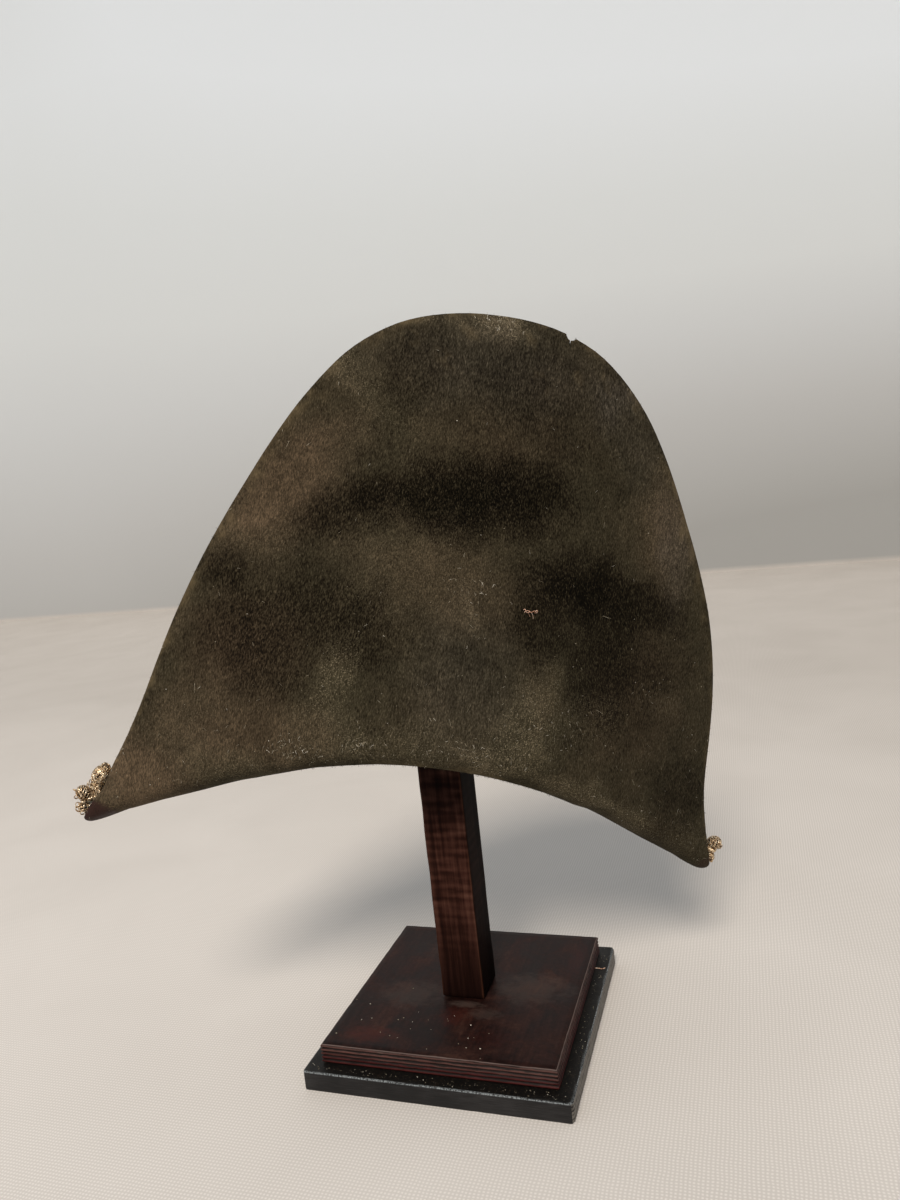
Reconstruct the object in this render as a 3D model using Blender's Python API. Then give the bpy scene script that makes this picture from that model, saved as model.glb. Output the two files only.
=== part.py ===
"""Felt bicorne hat with bullion tassels, resting on a plain wooden display stand.

Metres, +Z up. The origin is the middle of the stand's underside, with the base's
edges along X and Y. The hat's tall fan faces -Y, turned and tilted on its post.
Run with: blender --background --python part.py
"""

import math

import bmesh
import bpy
from mathutils import Matrix, Vector
from mathutils.bvhtree import BVHTree

# Stand: two square boards and a square post
BASE_SIDE = 0.200
BASE_THICK = 0.015
PLINTH_SIDE = 0.178
PLINTH_THICK = 0.0145
POST_SIDE = 0.034
POST_LENGTH = 0.328
BOARD_ARRIS = 0.0012
POST_ARRIS = 0.0008

# Hat: sizes in its own frame, X from tip to tip, Z up from the line through the tips
HALF_SPAN = 0.2425
FAN_HEIGHT = 0.392
REAR_FAN_HEIGHT = 0.345
REAR_FAN_NARROWING = 0.012
REAR_NARROWING_SHARE = 0.20
FELT_THICK = 0.003
ARCH_RISE = 0.0780
ARCH_POWER = 1.58
ARCH_SKEW = 0.080
TIP_DROP = 0.0036
CROWN_HALF_LENGTH = 0.110
CROWN_HALF_WIDTH = 0.070
CROWN_TOP = 0.208
CROWN_POWER = 2.6
FOLD_RADIUS = 0.0050

# Spread of each flap from the hat's middle plane
SPREAD_LOW = 0.086
SPREAD_TOP = 0.034
SPREAD_TIP = 0.012
SPREAD_POWER = 1.25
LEAN_SHARE = 0.65
KEEL_ROUNDING = 0.027
KEEL_SHARPENING = 0.4
KEEL_POWER = 2.2

# How the hat sits on its post, with its turn and tilt in degrees
HAT_TURN = 28.0
HAT_TILT = 14.45
SEAT_SHIFT = -0.021
SEAT_GAP = 0.0003

# Tassels of thick bullion in the two tips: a wound head with the bullions sewn to it
TASSEL_HEAD_LENGTH = 0.020
TASSEL_HEAD_WIDTH = 0.0128
TASSEL_HEAD_HEIGHT = 0.0130
TASSEL_HEAD_SIDES = 16
TASSEL_HEAD_RINGS = 9
TASSEL_INSET = 0.0145
BULLION_DIAMETER = 0.0086
BULLION_LENGTH = 0.025

# Edge of the fan from the right tip over the top to the left tip, as shares of the
# half span and of the way up from the tips' underside to the fan's top
FAN_EDGE = (
    # reach, rise
    (0.985, 0.000),
    (1.006, 0.011),
    (0.987, 0.046),
    (0.950, 0.105),
    (0.917, 0.184),
    (0.907, 0.282),
    (0.885, 0.395),
    (0.830, 0.518),
    (0.742, 0.641),
    (0.637, 0.761),
    (0.508, 0.877),
    (0.330, 0.962),
    (0.110, 1.000),
    (-0.130, 0.990),
    (-0.345, 0.932),
    (-0.505, 0.815),
    (-0.622, 0.671),
    (-0.724, 0.523),
    (-0.802, 0.373),
    (-0.862, 0.228),
    (-0.917, 0.125),
    (-0.970, 0.052),
    (-0.993, 0.010),
    (-0.966, 0.000),
)

# Swells and hollows of the tall fan's face. Places and sizes are shares of the half
# span and of the fan's height, and the depth is a share of the low spread
FAN_RELIEF = (
    # across, up, half_width, half_height, depth
    (-0.02, 0.43, 0.40, 0.13, 0.075),
    (0.00, 0.68, 0.42, 0.085, -0.075),
    (0.42, 0.52, 0.17, 0.12, -0.070),
    (-0.47, 0.47, 0.17, 0.13, -0.060),
    (0.27, 0.32, 0.13, 0.10, 0.035),
    (0.40, 0.34, 0.07, 0.10, -0.030),
    (-0.62, 0.22, 0.20, 0.14, 0.025),
)

# Columns and rings of the felt, which runs from the middle of the crown to the edge.
# The columns crowd toward the tips and the rings toward the lower fold. The flaps are
# evened out, but for the columns next to the keel under each tip, up to a sine of
# KEEL_HELD_SHARE away from it
SECTORS = 104
CROWN_RINGS = 7
FLAP_RINGS = 10
TIP_EASE = 0.80
RING_EASE = 0.35
EVENING_PASSES = 3
EVENING_SHARE = 0.5
KEEL_HELD_SHARE = 0.10
ON_KEEL_SHARE = 0.001

# Bullions, named by the tip they hang in (1 right, -1 left). Each springs from the
# head, offset across it by a share of the bullion's diameter, at a lift above the
# outward direction that turns by the curl along its length, in degrees. The length
# is a share of the longest bullion's
BULLIONS = (
    # tip, across, lift, curl, length
    (1, -0.46, 14.0, -14.0, 0.80),
    (1, -0.42, -24.0, -14.0, 0.56),
    (1, -0.47, 108.0, 14.0, 0.88),
    (1, 0.45, 92.0, 22.0, 0.92),
    (1, 0.43, 14.0, -20.0, 0.52),
    (-1, -0.46, 84.0, 26.0, 1.00),
    (-1, -0.44, 8.0, -12.0, 0.56),
    (-1, -0.40, -28.0, -16.0, 0.48),
    (-1, 0.47, 112.0, 20.0, 0.84),
    (-1, 0.42, 20.0, -20.0, 0.44),
)
BULLION_SIDES = 8
BULLION_STEPS = 5

# Where the bullions are sewn to the head, from its middle, as shares of its size, and
# how far their roots go into it, as a share of their diameter
ROOT_ALONG = 0.32
ROOT_ABOVE = 0.16
ROOT_SUNK = 0.33

# Thickness of a bullion at its root, its shoulder and its end, as shares
ROOT_TAPER = 0.80
SHOULDER_TAPER = 0.92
END_TAPER = 0.55


def clear_scene():
    for item in list(bpy.data.objects):
        bpy.data.objects.remove(item)


def make_material(name, colour, roughness, metallic=0.0):
    material = bpy.data.materials.new(name)
    material.use_nodes = True
    shader = material.node_tree.nodes["Principled BSDF"]
    shader.inputs["Base Color"].default_value = (*colour, 1.0)
    shader.inputs["Roughness"].default_value = roughness
    shader.inputs["Metallic"].default_value = metallic
    return material


def make_object(name, bm, material, parent=None):
    """Turns a bmesh into a named object, with its faces pointing out."""
    bmesh.ops.recalc_face_normals(bm, faces=bm.faces)
    mesh = bpy.data.meshes.new(name)
    bm.to_mesh(mesh)
    bm.free()
    mesh.materials.append(material)
    item = bpy.data.objects.new(name, mesh)
    bpy.context.scene.collection.objects.link(item)
    item.parent = parent
    return item


def path_point(points, share):
    """Point on the smooth curve through the points, at a share of its length."""
    steps = [(b - a).length for a, b in zip(points, points[1:])]
    along = share * sum(steps)
    index = 0
    while index < len(steps) - 1 and along > steps[index]:
        along -= steps[index]
        index += 1
    t = along / steps[index]
    before = points[max(index - 1, 0)]
    start, end = points[index], points[index + 1]
    after = points[min(index + 2, len(points) - 1)]
    return 0.5 * (
        2 * start
        + (end - before) * t
        + (2 * before - 5 * start + 4 * end - after) * t * t
        + (3 * start - before - 3 * end + after) * t * t * t
    )


def arch_height(x):
    """Height of the hat's lower fold above the line through the tips."""
    s = max(-1.0, min(1.0, x / HALF_SPAN))
    rise = (1 - s * s) ** ARCH_POWER * (1 - ARCH_SKEW * s)
    return (ARCH_RISE + TIP_DROP) * rise - TIP_DROP


def fan_relief(x, z):
    """Swells and hollows pressed into the tall fan by the crown and by wear."""
    depth = 0.0
    for across, up, half_width, half_height, share in FAN_RELIEF:
        dx = (x / HALF_SPAN - across) / half_width
        dz = (z / FAN_HEIGHT - up) / half_height
        depth += share * SPREAD_LOW * math.exp(-(dx * dx + dz * dz))
    return depth


def flap_spread(x, height, fan_height):
    """Distance of a flap from the middle plane, well above its lower fold."""
    s = max(-1.0, min(1.0, x / HALF_SPAN))
    fullness = 1 - s * s
    low = SPREAD_TIP + (SPREAD_LOW - SPREAD_TIP) * fullness**SPREAD_POWER
    top = SPREAD_TIP + (SPREAD_TOP - SPREAD_TIP) * fullness
    share = max(0.0, min(1.0, height / (fan_height - ARCH_RISE)))
    ease = share * share * (3 - 2 * share)
    lean = LEAN_SHARE * share + (1 - LEAN_SHARE) * ease
    return low + (top - low) * lean


def flap_depth(x, height, fan_height, relief):
    """Depth of a flap's middle surface in front of or behind the middle plane."""
    reach = CROWN_HALF_LENGTH + 2 * FOLD_RADIUS
    inner = 0.0
    if abs(x) < reach:
        inner = (CROWN_HALF_WIDTH + 2 * FOLD_RADIUS) * math.sqrt(1 - (x / reach) ** 2)
    outer = flap_spread(x, height, fan_height)
    if relief:
        outer += fan_relief(x, arch_height(x) + height)
    rounding = KEEL_ROUNDING * (outer / SPREAD_LOW) ** KEEL_SHARPENING
    turned = 1 - min(1.0, max(0.0, height) / rounding)
    return inner + (outer - inner) * math.sqrt(max(0.0, 1 - turned**KEEL_POWER))


def sector_share(turn):
    """Share along the fan's edge for a turn from 0 at one tip to 1 at the other."""
    return turn - TIP_EASE * math.sin(2 * math.pi * turn) / (2 * math.pi)


def edge_point(angle):
    """Reach and height of the felt's edge at an angle round the crown."""
    front = angle <= math.pi
    fan_height = FAN_HEIGHT if front else REAR_FAN_HEIGHT
    narrowing = 0.0 if front else REAR_FAN_NARROWING / HALF_SPAN
    turn = angle / math.pi if front else 2 - angle / math.pi
    full_height = FAN_HEIGHT + TIP_DROP
    rows = [Vector((reach * HALF_SPAN, rise * full_height)) for reach, rise in FAN_EDGE]
    x, climb = path_point(rows, sector_share(turn))
    rise = climb / full_height
    x *= 1 - narrowing * max(0.0, min(1.0, rise / REAR_NARROWING_SHARE))
    return x, rise * (fan_height + TIP_DROP) - TIP_DROP, fan_height


def felt_profile(angle):
    """Points of the felt's middle surface along one sector, crown to edge."""
    cos_a, sin_a = math.cos(angle), math.sin(angle)
    side = -1.0 if angle <= math.pi else 1.0
    wide = abs(sin_a)
    wall_x, wall_y = CROWN_HALF_LENGTH * cos_a, CROWN_HALF_WIDTH * wide
    foot = arch_height(wall_x) + FOLD_RADIUS
    points = []
    for ring in range(1, CROWN_RINGS + 1):
        polar = 0.5 * math.pi * ring / CROWN_RINGS
        out = math.sin(polar) ** (2 / CROWN_POWER)
        up = max(0.0, math.cos(polar)) ** (2 / CROWN_POWER)
        z = foot + (CROWN_TOP - foot) * up
        points.append(Vector((wall_x * out, side * wall_y * out, z)))

    # The felt turns round the lower fold, from the crown's wall into the flap
    for quarter in (1, 2, 3):
        bend = math.pi * quarter / 4
        away = FOLD_RADIUS * (1 - math.cos(bend))
        drop = FOLD_RADIUS * math.sin(bend)
        lift = wide if bend > math.pi / 2 else 1.0
        x = (CROWN_HALF_LENGTH + away) * cos_a
        base = arch_height(x)
        z = base + (FOLD_RADIUS - drop) * lift
        points.append(Vector((x, side * (CROWN_HALF_WIDTH + away) * wide, z)))

    edge_x, edge_z, fan_height = edge_point(angle)
    start_x = (CROWN_HALF_LENGTH + 2 * FOLD_RADIUS) * cos_a
    start_height = FOLD_RADIUS * wide
    end_height = edge_z - arch_height(edge_x) if wide > ON_KEEL_SHARE else 0.0
    for ring in range(FLAP_RINGS + 1):
        t = ring / FLAP_RINGS
        t -= RING_EASE * t * (1 - t)
        x = start_x + (edge_x - start_x) * t
        height = start_height + (end_height - start_height) * t
        depth = flap_depth(x, height, fan_height, angle <= math.pi)
        points.append(Vector((x, side * depth, arch_height(x) + height)))
    return points


def make_felt(material, parent):
    """The whole hat body: one felt sheet blocked into a crown and cocked flaps."""
    bm = bmesh.new()
    pole = bm.verts.new((0.0, 0.0, CROWN_TOP))
    columns = []
    for sector in range(SECTORS):
        angle = 2 * math.pi * sector / SECTORS
        columns.append([bm.verts.new(point) for point in felt_profile(angle)])
    for sector, column in enumerate(columns):
        following = columns[(sector + 1) % SECTORS]
        bm.faces.new((pole, column[0], following[0]))
        for ring in range(len(column) - 1):
            bm.faces.new(
                (column[ring], column[ring + 1], following[ring + 1], following[ring])
            )
    flap = [
        vertex
        for sector, column in enumerate(columns)
        if abs(math.sin(2 * math.pi * sector / SECTORS)) > KEEL_HELD_SHARE
        for vertex in column[CROWN_RINGS + 3 : -1]
    ]
    for _ in range(EVENING_PASSES):
        bmesh.ops.smooth_vert(
            bm,
            verts=flap,
            factor=EVENING_SHARE,
            use_axis_x=True,
            use_axis_y=True,
            use_axis_z=True,
        )
    felt = make_object("felt_body", bm, material, parent)
    felt.data.shade_smooth()
    wall = felt.modifiers.new("Felt thickness", "SOLIDIFY")
    wall.thickness = FELT_THICK
    wall.offset = 0.0
    wall.use_even_offset = True
    return felt


def bullion_points(across, lift, curl, length):
    """Centre line of one bullion, from inside the tassel's head."""
    root = Vector(
        (
            ROOT_ALONG * TASSEL_HEAD_LENGTH,
            across * BULLION_DIAMETER,
            ROOT_ABOVE * TASSEL_HEAD_HEIGHT,
        )
    )
    start = math.radians(lift)
    heading = Vector((math.cos(start), 0.0, math.sin(start)))
    points = [root - heading * ROOT_SUNK * BULLION_DIAMETER, root]
    for step in range(BULLION_STEPS):
        pitch = math.radians(lift + curl * (step + 0.5) / BULLION_STEPS)
        heading = Vector((math.cos(pitch), 0.0, math.sin(pitch)))
        points.append(points[-1] + heading * length * BULLION_LENGTH / BULLION_STEPS)
    return points


def add_bullion(bm, points):
    """A closed round tube along the points, with a domed end."""
    last = len(points) - 1
    taper = {0: ROOT_TAPER, last - 1: SHOULDER_TAPER, last: END_TAPER}
    rings = []
    for index, point in enumerate(points):
        before = points[max(index - 1, 0)]
        after = points[min(index + 1, last)]
        across = Vector((0.0, 1.0, 0.0))
        above = (after - before).normalized().cross(across)
        size = BULLION_DIAMETER / 2 * taper.get(index, 1.0)
        ring = []
        for side in range(BULLION_SIDES):
            angle = 2 * math.pi * side / BULLION_SIDES
            out = across * math.cos(angle) + above * math.sin(angle)
            ring.append(bm.verts.new(point + out * size))
        rings.append(ring)
    for first, second in zip(rings, rings[1:]):
        for side in range(BULLION_SIDES):
            after = (side + 1) % BULLION_SIDES
            bm.faces.new((first[side], first[after], second[after], second[side]))
    bm.faces.new(list(reversed(rings[0])))
    bm.faces.new(rings[-1])


def make_tassel(name, tip, material, parent):
    """One tassel: a wound head with bullions fused to it, pointing out of a tip."""
    mirror = Matrix.Diagonal((float(tip), 1.0, 1.0, 1.0))
    bm = bmesh.new()
    bmesh.ops.create_uvsphere(
        bm, u_segments=TASSEL_HEAD_SIDES, v_segments=TASSEL_HEAD_RINGS, radius=0.5
    )
    head_size = (TASSEL_HEAD_LENGTH, TASSEL_HEAD_WIDTH, TASSEL_HEAD_HEIGHT)
    bmesh.ops.scale(bm, vec=head_size, verts=bm.verts)
    bmesh.ops.transform(bm, matrix=mirror, verts=bm.verts)
    head = make_object(name, bm, material, parent)
    rows = [row[1:] for row in BULLIONS if row[0] == tip]
    for index, row in enumerate(rows):
        bm = bmesh.new()
        add_bullion(bm, bullion_points(*row))
        bmesh.ops.transform(bm, matrix=mirror, verts=bm.verts)
        strand = make_object(f"{name}_bullion_{index}", bm, material, head)
        strand.hide_render = True
        strand.display_type = "WIRE"
        fuse = head.modifiers.new(f"Fuse {index}", "BOOLEAN")
        fuse.operation = "UNION"
        fuse.object = strand
        fuse.solver = "EXACT"
    return head


def make_board(name, side, thick, bottom, arris, material):
    """A square board or post standing at a height, with its sharp edges eased."""
    bm = bmesh.new()
    bmesh.ops.create_cube(bm, size=1.0)
    bmesh.ops.scale(bm, vec=(side, side, thick), verts=bm.verts)
    board = make_object(name, bm, material)
    board.location = (0.0, 0.0, bottom + thick / 2)
    ease = board.modifiers.new("Eased arris", "BEVEL")
    ease.width = arris
    ease.segments = 2
    return board


def solid_tree(item):
    """Search tree of an object's finished shape, in world space."""
    bpy.context.view_layer.update()
    graph = bpy.context.evaluated_depsgraph_get()
    shown = item.evaluated_get(graph)
    mesh = shown.to_mesh()
    corners = [shown.matrix_world @ vertex.co for vertex in mesh.vertices]
    faces = [tuple(face.vertices) for face in mesh.polygons]
    shown.to_mesh_clear()
    return BVHTree.FromPolygons(corners, faces), corners


def seat_hat(hat, felt, post_top):
    """Lowers the hat until the inside of its crown rests on the post's end."""
    crown_inside = CROWN_TOP - FELT_THICK / 2
    turn = Matrix.Rotation(math.radians(HAT_TURN), 4, "Z")
    tilt = Matrix.Rotation(math.radians(HAT_TILT), 4, "Y")
    seat = Matrix.Translation((-SEAT_SHIFT, 0.0, -crown_inside))
    hat.matrix_world = Matrix.Translation((0.0, 0.0, post_top)) @ turn @ tilt @ seat
    tree, _ = solid_tree(felt)
    below = post_top - CROWN_HALF_WIDTH
    half = POST_SIDE / 2
    room = []
    for x in (-half, half):
        for y in (-half, half):
            hit = tree.ray_cast(Vector((x, y, below)), Vector((0.0, 0.0, 1.0)))
            room.append(hit[0].z - post_top)
    hat.location.z -= min(room) - SEAT_GAP


def gap_between(tassel, felt_tree, felt_corners):
    """Smallest distance between a tassel and the felt, negative where they cross."""
    tree, corners = solid_tree(tassel)
    if tree.overlap(felt_tree):
        return -1.0
    near = min(felt_tree.find_nearest(corner)[3] for corner in corners)
    middle = sum(corners, Vector()) / len(corners)
    reach = 2 * (TASSEL_HEAD_LENGTH + BULLION_LENGTH)
    for corner in felt_corners:
        if (corner - middle).length < reach:
            near = min(near, tree.find_nearest(corner)[3])
    return near


def seat_tassel(head, tip, felt):
    """Lowers a tassel into the trough of its tip until it rests on the felt."""
    felt_tree, felt_corners = solid_tree(felt)
    reach = HALF_SPAN - TASSEL_INSET
    low = arch_height(tip * reach)
    high = low + TASSEL_HEAD_HEIGHT

    def is_free(height):
        head.location = (tip * reach, 0.0, height)
        return gap_between(head, felt_tree, felt_corners) >= SEAT_GAP

    while not is_free(high):
        low, high = high, high + TASSEL_HEAD_HEIGHT / 2
    while high - low > SEAT_GAP / 10:
        middle = (low + high) / 2
        if is_free(middle):
            high = middle
        else:
            low = middle
    head.location = (tip * reach, 0.0, high)


def main():
    clear_scene()
    felt_finish = make_material("worn_felt", (0.045, 0.036, 0.026), 0.95)
    gold_finish = make_material("gilt_bullion", (0.55, 0.42, 0.22), 0.40, 1.0)
    wood_finish = make_material("stained_wood", (0.045, 0.018, 0.013), 0.45)
    black_finish = make_material("black_wood", (0.018, 0.018, 0.017), 0.50)

    make_board("base_board", BASE_SIDE, BASE_THICK, 0.0, BOARD_ARRIS, black_finish)
    plinth_bottom = BASE_THICK + SEAT_GAP
    make_board(
        "plinth_board", PLINTH_SIDE, PLINTH_THICK, plinth_bottom, BOARD_ARRIS, wood_finish
    )
    post_bottom = plinth_bottom + PLINTH_THICK + SEAT_GAP
    make_board("post", POST_SIDE, POST_LENGTH, post_bottom, POST_ARRIS, wood_finish)

    hat = bpy.data.objects.new("hat", None)
    bpy.context.scene.collection.objects.link(hat)
    felt = make_felt(felt_finish, hat)
    seat_hat(hat, felt, post_bottom + POST_LENGTH)
    for name, tip in (("tassel_right", 1), ("tassel_left", -1)):
        head = make_tassel(name, tip, gold_finish, hat)
        seat_tassel(head, tip, felt)


main()
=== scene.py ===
"""A worn felt bicorne on its stepped display stand, dressed in the order it is put together."""

import random
from functools import partial
from math import copysign, cos, pi, radians, sin, sqrt

import bpy
import numpy as np
from mathutils import Matrix, Vector, noise


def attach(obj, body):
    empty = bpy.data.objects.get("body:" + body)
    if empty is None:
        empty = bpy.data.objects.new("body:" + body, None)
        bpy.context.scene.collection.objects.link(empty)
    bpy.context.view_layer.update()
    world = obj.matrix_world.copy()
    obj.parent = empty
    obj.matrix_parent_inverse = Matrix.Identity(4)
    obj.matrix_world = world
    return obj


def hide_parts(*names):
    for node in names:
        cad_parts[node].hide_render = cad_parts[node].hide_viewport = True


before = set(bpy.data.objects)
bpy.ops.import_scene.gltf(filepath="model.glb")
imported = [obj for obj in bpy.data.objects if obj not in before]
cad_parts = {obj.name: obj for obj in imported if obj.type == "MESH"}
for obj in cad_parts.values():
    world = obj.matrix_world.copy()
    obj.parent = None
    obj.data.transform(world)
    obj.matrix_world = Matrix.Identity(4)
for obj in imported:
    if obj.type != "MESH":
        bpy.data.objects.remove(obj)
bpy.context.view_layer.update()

# Camera: a phone held a little under a metre from the stand, slightly tilted, looking at
# the face of the tall flap from just right of it.
CAMERA_PLACE = (0.2321, -0.6210, 0.4232)
CAMERA_YAW, CAMERA_PITCH, CAMERA_ROLL = -18.99, 7.11, 6.17
LENS_MM, SENSOR_MM = 26.54, 36.0


def placed(name, data):
    """A new object with this data, in the scene."""
    piece = bpy.data.objects.new(name, data)
    bpy.context.scene.collection.objects.link(piece)
    return piece


camera = placed("camera", bpy.data.cameras.new("camera"))
bpy.context.scene.camera = camera
camera.data.sensor_width = SENSOR_MM
camera.data.lens = LENS_MM
camera.data.clip_start = 0.01
camera.matrix_world = (
    Matrix.Translation(CAMERA_PLACE)
    @ Matrix.Rotation(radians(-CAMERA_YAW), 4, "Z")
    @ Matrix.Rotation(radians(90 - CAMERA_PITCH), 4, "X")
    @ Matrix.Rotation(radians(-CAMERA_ROLL), 4, "Z")
)

# Room: a pale cloth-covered floor that meets a pale backdrop of the same cloth, under one
# broad soft light from the front left and the light that the pale room throws back.
BACKDROP_AT = 2.89
ROOM_HALF_WIDTH = 7.0
ROOM_FRONT = -5.0
BACKDROP_HEIGHT = 6.0
WEAVE_MM = 2.6
WINDOW_LIES = (-0.62, -0.30, 0.72)
KEY_LIES = (0.065, -0.69, 0.72)
KEY_STRENGTH, KEY_SPREAD = 2.65, 20
ROOM_GLOW = 0.64


def linear(hex_colour):
    """An sRGB hex colour as the linear colour that a shader takes."""
    parts = [int(hex_colour[at : at + 2], 16) / 255 for at in (1, 3, 5)]
    return [*(p / 12.92 if p <= 0.04045 else ((p + 0.055) / 1.055) ** 2.4 for p in parts), 1.0]


def node(tree, kind, inputs=(), stops=(), out=None, **named):
    """Adds one node, with its inputs, settings and colour stops, and gives the output in use.

    An operation stands after the kind, and a Mix mixes two colours by a share.
    """
    kind, _, operation = kind.partition(" ")
    made = tree.nodes.new("ShaderNode" + kind)
    if operation:
        made.operation = operation
    if kind == "Mix":
        made.data_type = "RGBA"
        inputs = dict(zip((0, 6, 7), inputs))
    fed = dict(inputs if isinstance(inputs, dict) else enumerate(inputs))
    for name, value in named.items():
        if name in made.inputs:
            fed[name] = value
        else:
            setattr(made, name, value)
    for key, value in fed.items():
        if isinstance(value, bpy.types.NodeSocket):
            tree.links.new(value, made.inputs[key])
        else:
            made.inputs[key].default_value = value
    for index, (place, colour) in enumerate(stops):
        bands = made.color_ramp.elements
        band = bands[index] if index < len(bands) else bands.new(place)
        band.position, band.color = place, linear(colour)
    return made.outputs[out] if out else next((end for end in made.outputs if end.enabled), None)


def new_material(name):
    """An empty material, the function that adds its nodes, and its Object coordinates."""
    material = bpy.data.materials.new(name)
    material.use_nodes = True
    material.node_tree.nodes.clear()
    add = partial(node, material.node_tree)
    return material, add, add("TexCoord", out="Object")


def split(add, vector):
    """The X, Y and Z of a shader's vector."""
    return add("SeparateXYZ", (vector,)).node.outputs


def surface(add, look, relief=()):
    """Ends a material in a principled shader with this look, and a relief if it has one."""
    if relief:
        height, strength, depth = relief
        look["Normal"] = add("Bump", {"Height": height, "Strength": strength, "Distance": depth})
    add("OutputMaterial", (add("BsdfPrincipled", look),))


def start_piece():
    """Leaves everything unselected and in object mode, ready for the next primitive."""
    if bpy.context.object and bpy.context.object.mode != "OBJECT":
        bpy.ops.object.mode_set(mode="OBJECT")
    bpy.ops.object.select_all(action="DESELECT")


def pick(piece):
    """Makes one piece the only one selected, and the active one."""
    start_piece()
    piece.select_set(True)
    bpy.context.view_layer.objects.active = piece


def new_piece(name, shape, scale=(1, 1, 1), **settings):
    """A primitive of this shape under a name, at its size and place."""
    start_piece()
    getattr(bpy.ops.mesh, f"primitive_{shape}_add")(**settings)
    piece = bpy.context.object
    piece.name = name
    piece.scale = scale
    bpy.ops.object.transform_apply()
    return piece


def select_edges(piece, beyond):
    """Selects the edges of a sheet that lie beyond a distance in Y, and goes to edit mode."""
    for vertex in piece.data.vertices:
        vertex.select = vertex.co.y > beyond
    for edge in piece.data.edges:
        edge.select = all(piece.data.vertices[at].co.y > beyond for at in edge.vertices)
    for face in piece.data.polygons:
        face.select = False
    bpy.ops.object.mode_set(mode="EDIT")
    bpy.ops.mesh.select_mode(type="EDGE")


room = new_piece(
    "room_cloth", "plane", (2 * ROOM_HALF_WIDTH, BACKDROP_AT - ROOM_FRONT, 1.0), size=1.0,
    location=(0.0, (BACKDROP_AT + ROOM_FRONT) / 2, 0.0),
)
select_edges(room, BACKDROP_AT - 0.01)
bpy.ops.mesh.extrude_region_move(TRANSFORM_OT_translate={"value": (0, 0, BACKDROP_HEIGHT)})
bpy.ops.object.mode_set(mode="OBJECT")

# Plain-woven cotton, washed and ironed: pale and matt. Its threads cross every half
# millimetre and are drawn five times coarser. Painted shade darkens the floor towards the back
# and the right; the backdrop is painted lighter upwards, and on its right darker low down and
# lighter high up.
cloth, add, place = new_material("pale_cotton_cloth")
axes = split(add, place)
upright = add("MapRange", (axes["Z"], 0.0, 0.02))
thread = {"Vector": place, "Scale": 100 * pi / WEAVE_MM, "Distortion": 2.2, "Detail": 2.0}
thread["Detail Scale"] = 0.6
threads = [add("TexWave", thread, out="Fac", bands_direction=way) for way in ("X", "Y")]
weave = add("Math MULTIPLY", threads)
weave = add("MapRange", (weave, 0, 1, 0.46, 0.76))
creases = add("TexNoise", Vector=place, Scale=5.0, Detail=4.0, Distortion=0.6)
# Painted shade: the floor darker towards the back and towards the right
painted_shade_right = add("MapRange", (axes["X"], -0.4, 1.6, 0, 0.1))
painted_floor_shade = add("MapRange", (axes["Y"], -0.2, 1.2, 0, 0.34))
painted_floor_shade = add("Math ADD", (painted_floor_shade, painted_shade_right))
weave_with_painted_shade = add("Math SUBTRACT", (weave, painted_floor_shade))
weave_with_painted_shade = add("Math MULTIPLY_ADD", (creases, 0.16, weave_with_painted_shade))
lying = add("ValToRGB", (weave_with_painted_shade,), ((0.12, "#aaa5a0"), (0.78, "#e1ddda")))
# Painted light and shade on the backdrop: lighter upwards, darker low and lighter high on its right
across_wall = add("MapRange", (axes["X"], -2.8, 0.8, 0, 0.42))
up_wall = add("Math MULTIPLY_ADD", (axes["Z"], 0.9, -0.8))
painted_light_and_shade_right = add("Math MULTIPLY", (across_wall, up_wall))
painted_light_up_wall = add("MapRange", (axes["Z"], 0, 2.4, 0.16, 0.9))
hung = add("Math ADD", (painted_light_up_wall, painted_light_and_shade_right))
hung = add("ValToRGB", (hung,), (
    (0.0, "#9c9d9d"), (0.25, "#b2b4b6"), (0.45, "#c3c7cb"), (0.58, "#ccd1d5"), (0.75, "#d0d6db"),
    (1.0, "#d9e0e8"),
))
shade = add("Mix", (upright, lying, hung))
look = {"Base Color": shade, "Roughness": 0.95, "Specular IOR Level": 0.1}
surface(add, look, (weave, 0.15, 0.0004))
room.data.materials.append(cloth)

world = bpy.data.worlds.new("pale_room")
bpy.context.scene.world = world
world.use_nodes = True
world.node_tree.nodes.clear()
add = partial(node, world.node_tree)
towards = add("VectorMath DOT_PRODUCT", (add("TexCoord", out="Generated"), WINDOW_LIES))
daylight = add("MapRange", (towards, -0.8, 1.0))
daylight = add("ValToRGB", (daylight,), ((0.0, "#6a6b6c"), (0.45, "#a4a8aa"), (1.0, "#f4f8fa")))
add("OutputWorld", (add("Background", (daylight, ROOM_GLOW)),))

key = placed("soft_key", bpy.data.lights.new("soft_key", "SUN"))
key.data.energy = KEY_STRENGTH
key.data.angle = radians(KEY_SPREAD)
key.data.color = linear("#fff3e4")[:3]
key.rotation_euler = Vector(KEY_LIES).to_track_quat("Z", "Y").to_euler()
bpy.context.scene.view_settings.view_transform = "Standard"

# Lower board: 15 mm plywood cut square, its arrises knocked off with sandpaper and brushed
# black with an emulsion that has dried to a satin. The plies show faintly as lines.
LOWER_SIDE = 0.200
LOWER_THICK = 0.015
LOWER_CELLS = 36
LOWER_EDGE = (
    # up from the underside, in from the edge
    (0.0000, 0.00090), (0.0004, 0.00030), (0.0011, 0.00002), (0.0027, 0.00000), (0.0030, 0.00007),
    (0.0033, 0.00000), (0.0055, 0.00004), (0.0058, 0.00008), (0.0061, 0.00002), (0.0083, 0.00000),
    (0.0086, 0.00008), (0.0089, 0.00004), (0.0111, 0.00002), (0.0114, 0.00007), (0.0117, 0.00002),
    (0.0139, 0.00006), (0.0146, 0.00035), (0.0150, 0.00110),
)
SLOPE_WIDTH, SLOPE_GAIN = 0.0012, 3.0


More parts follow.
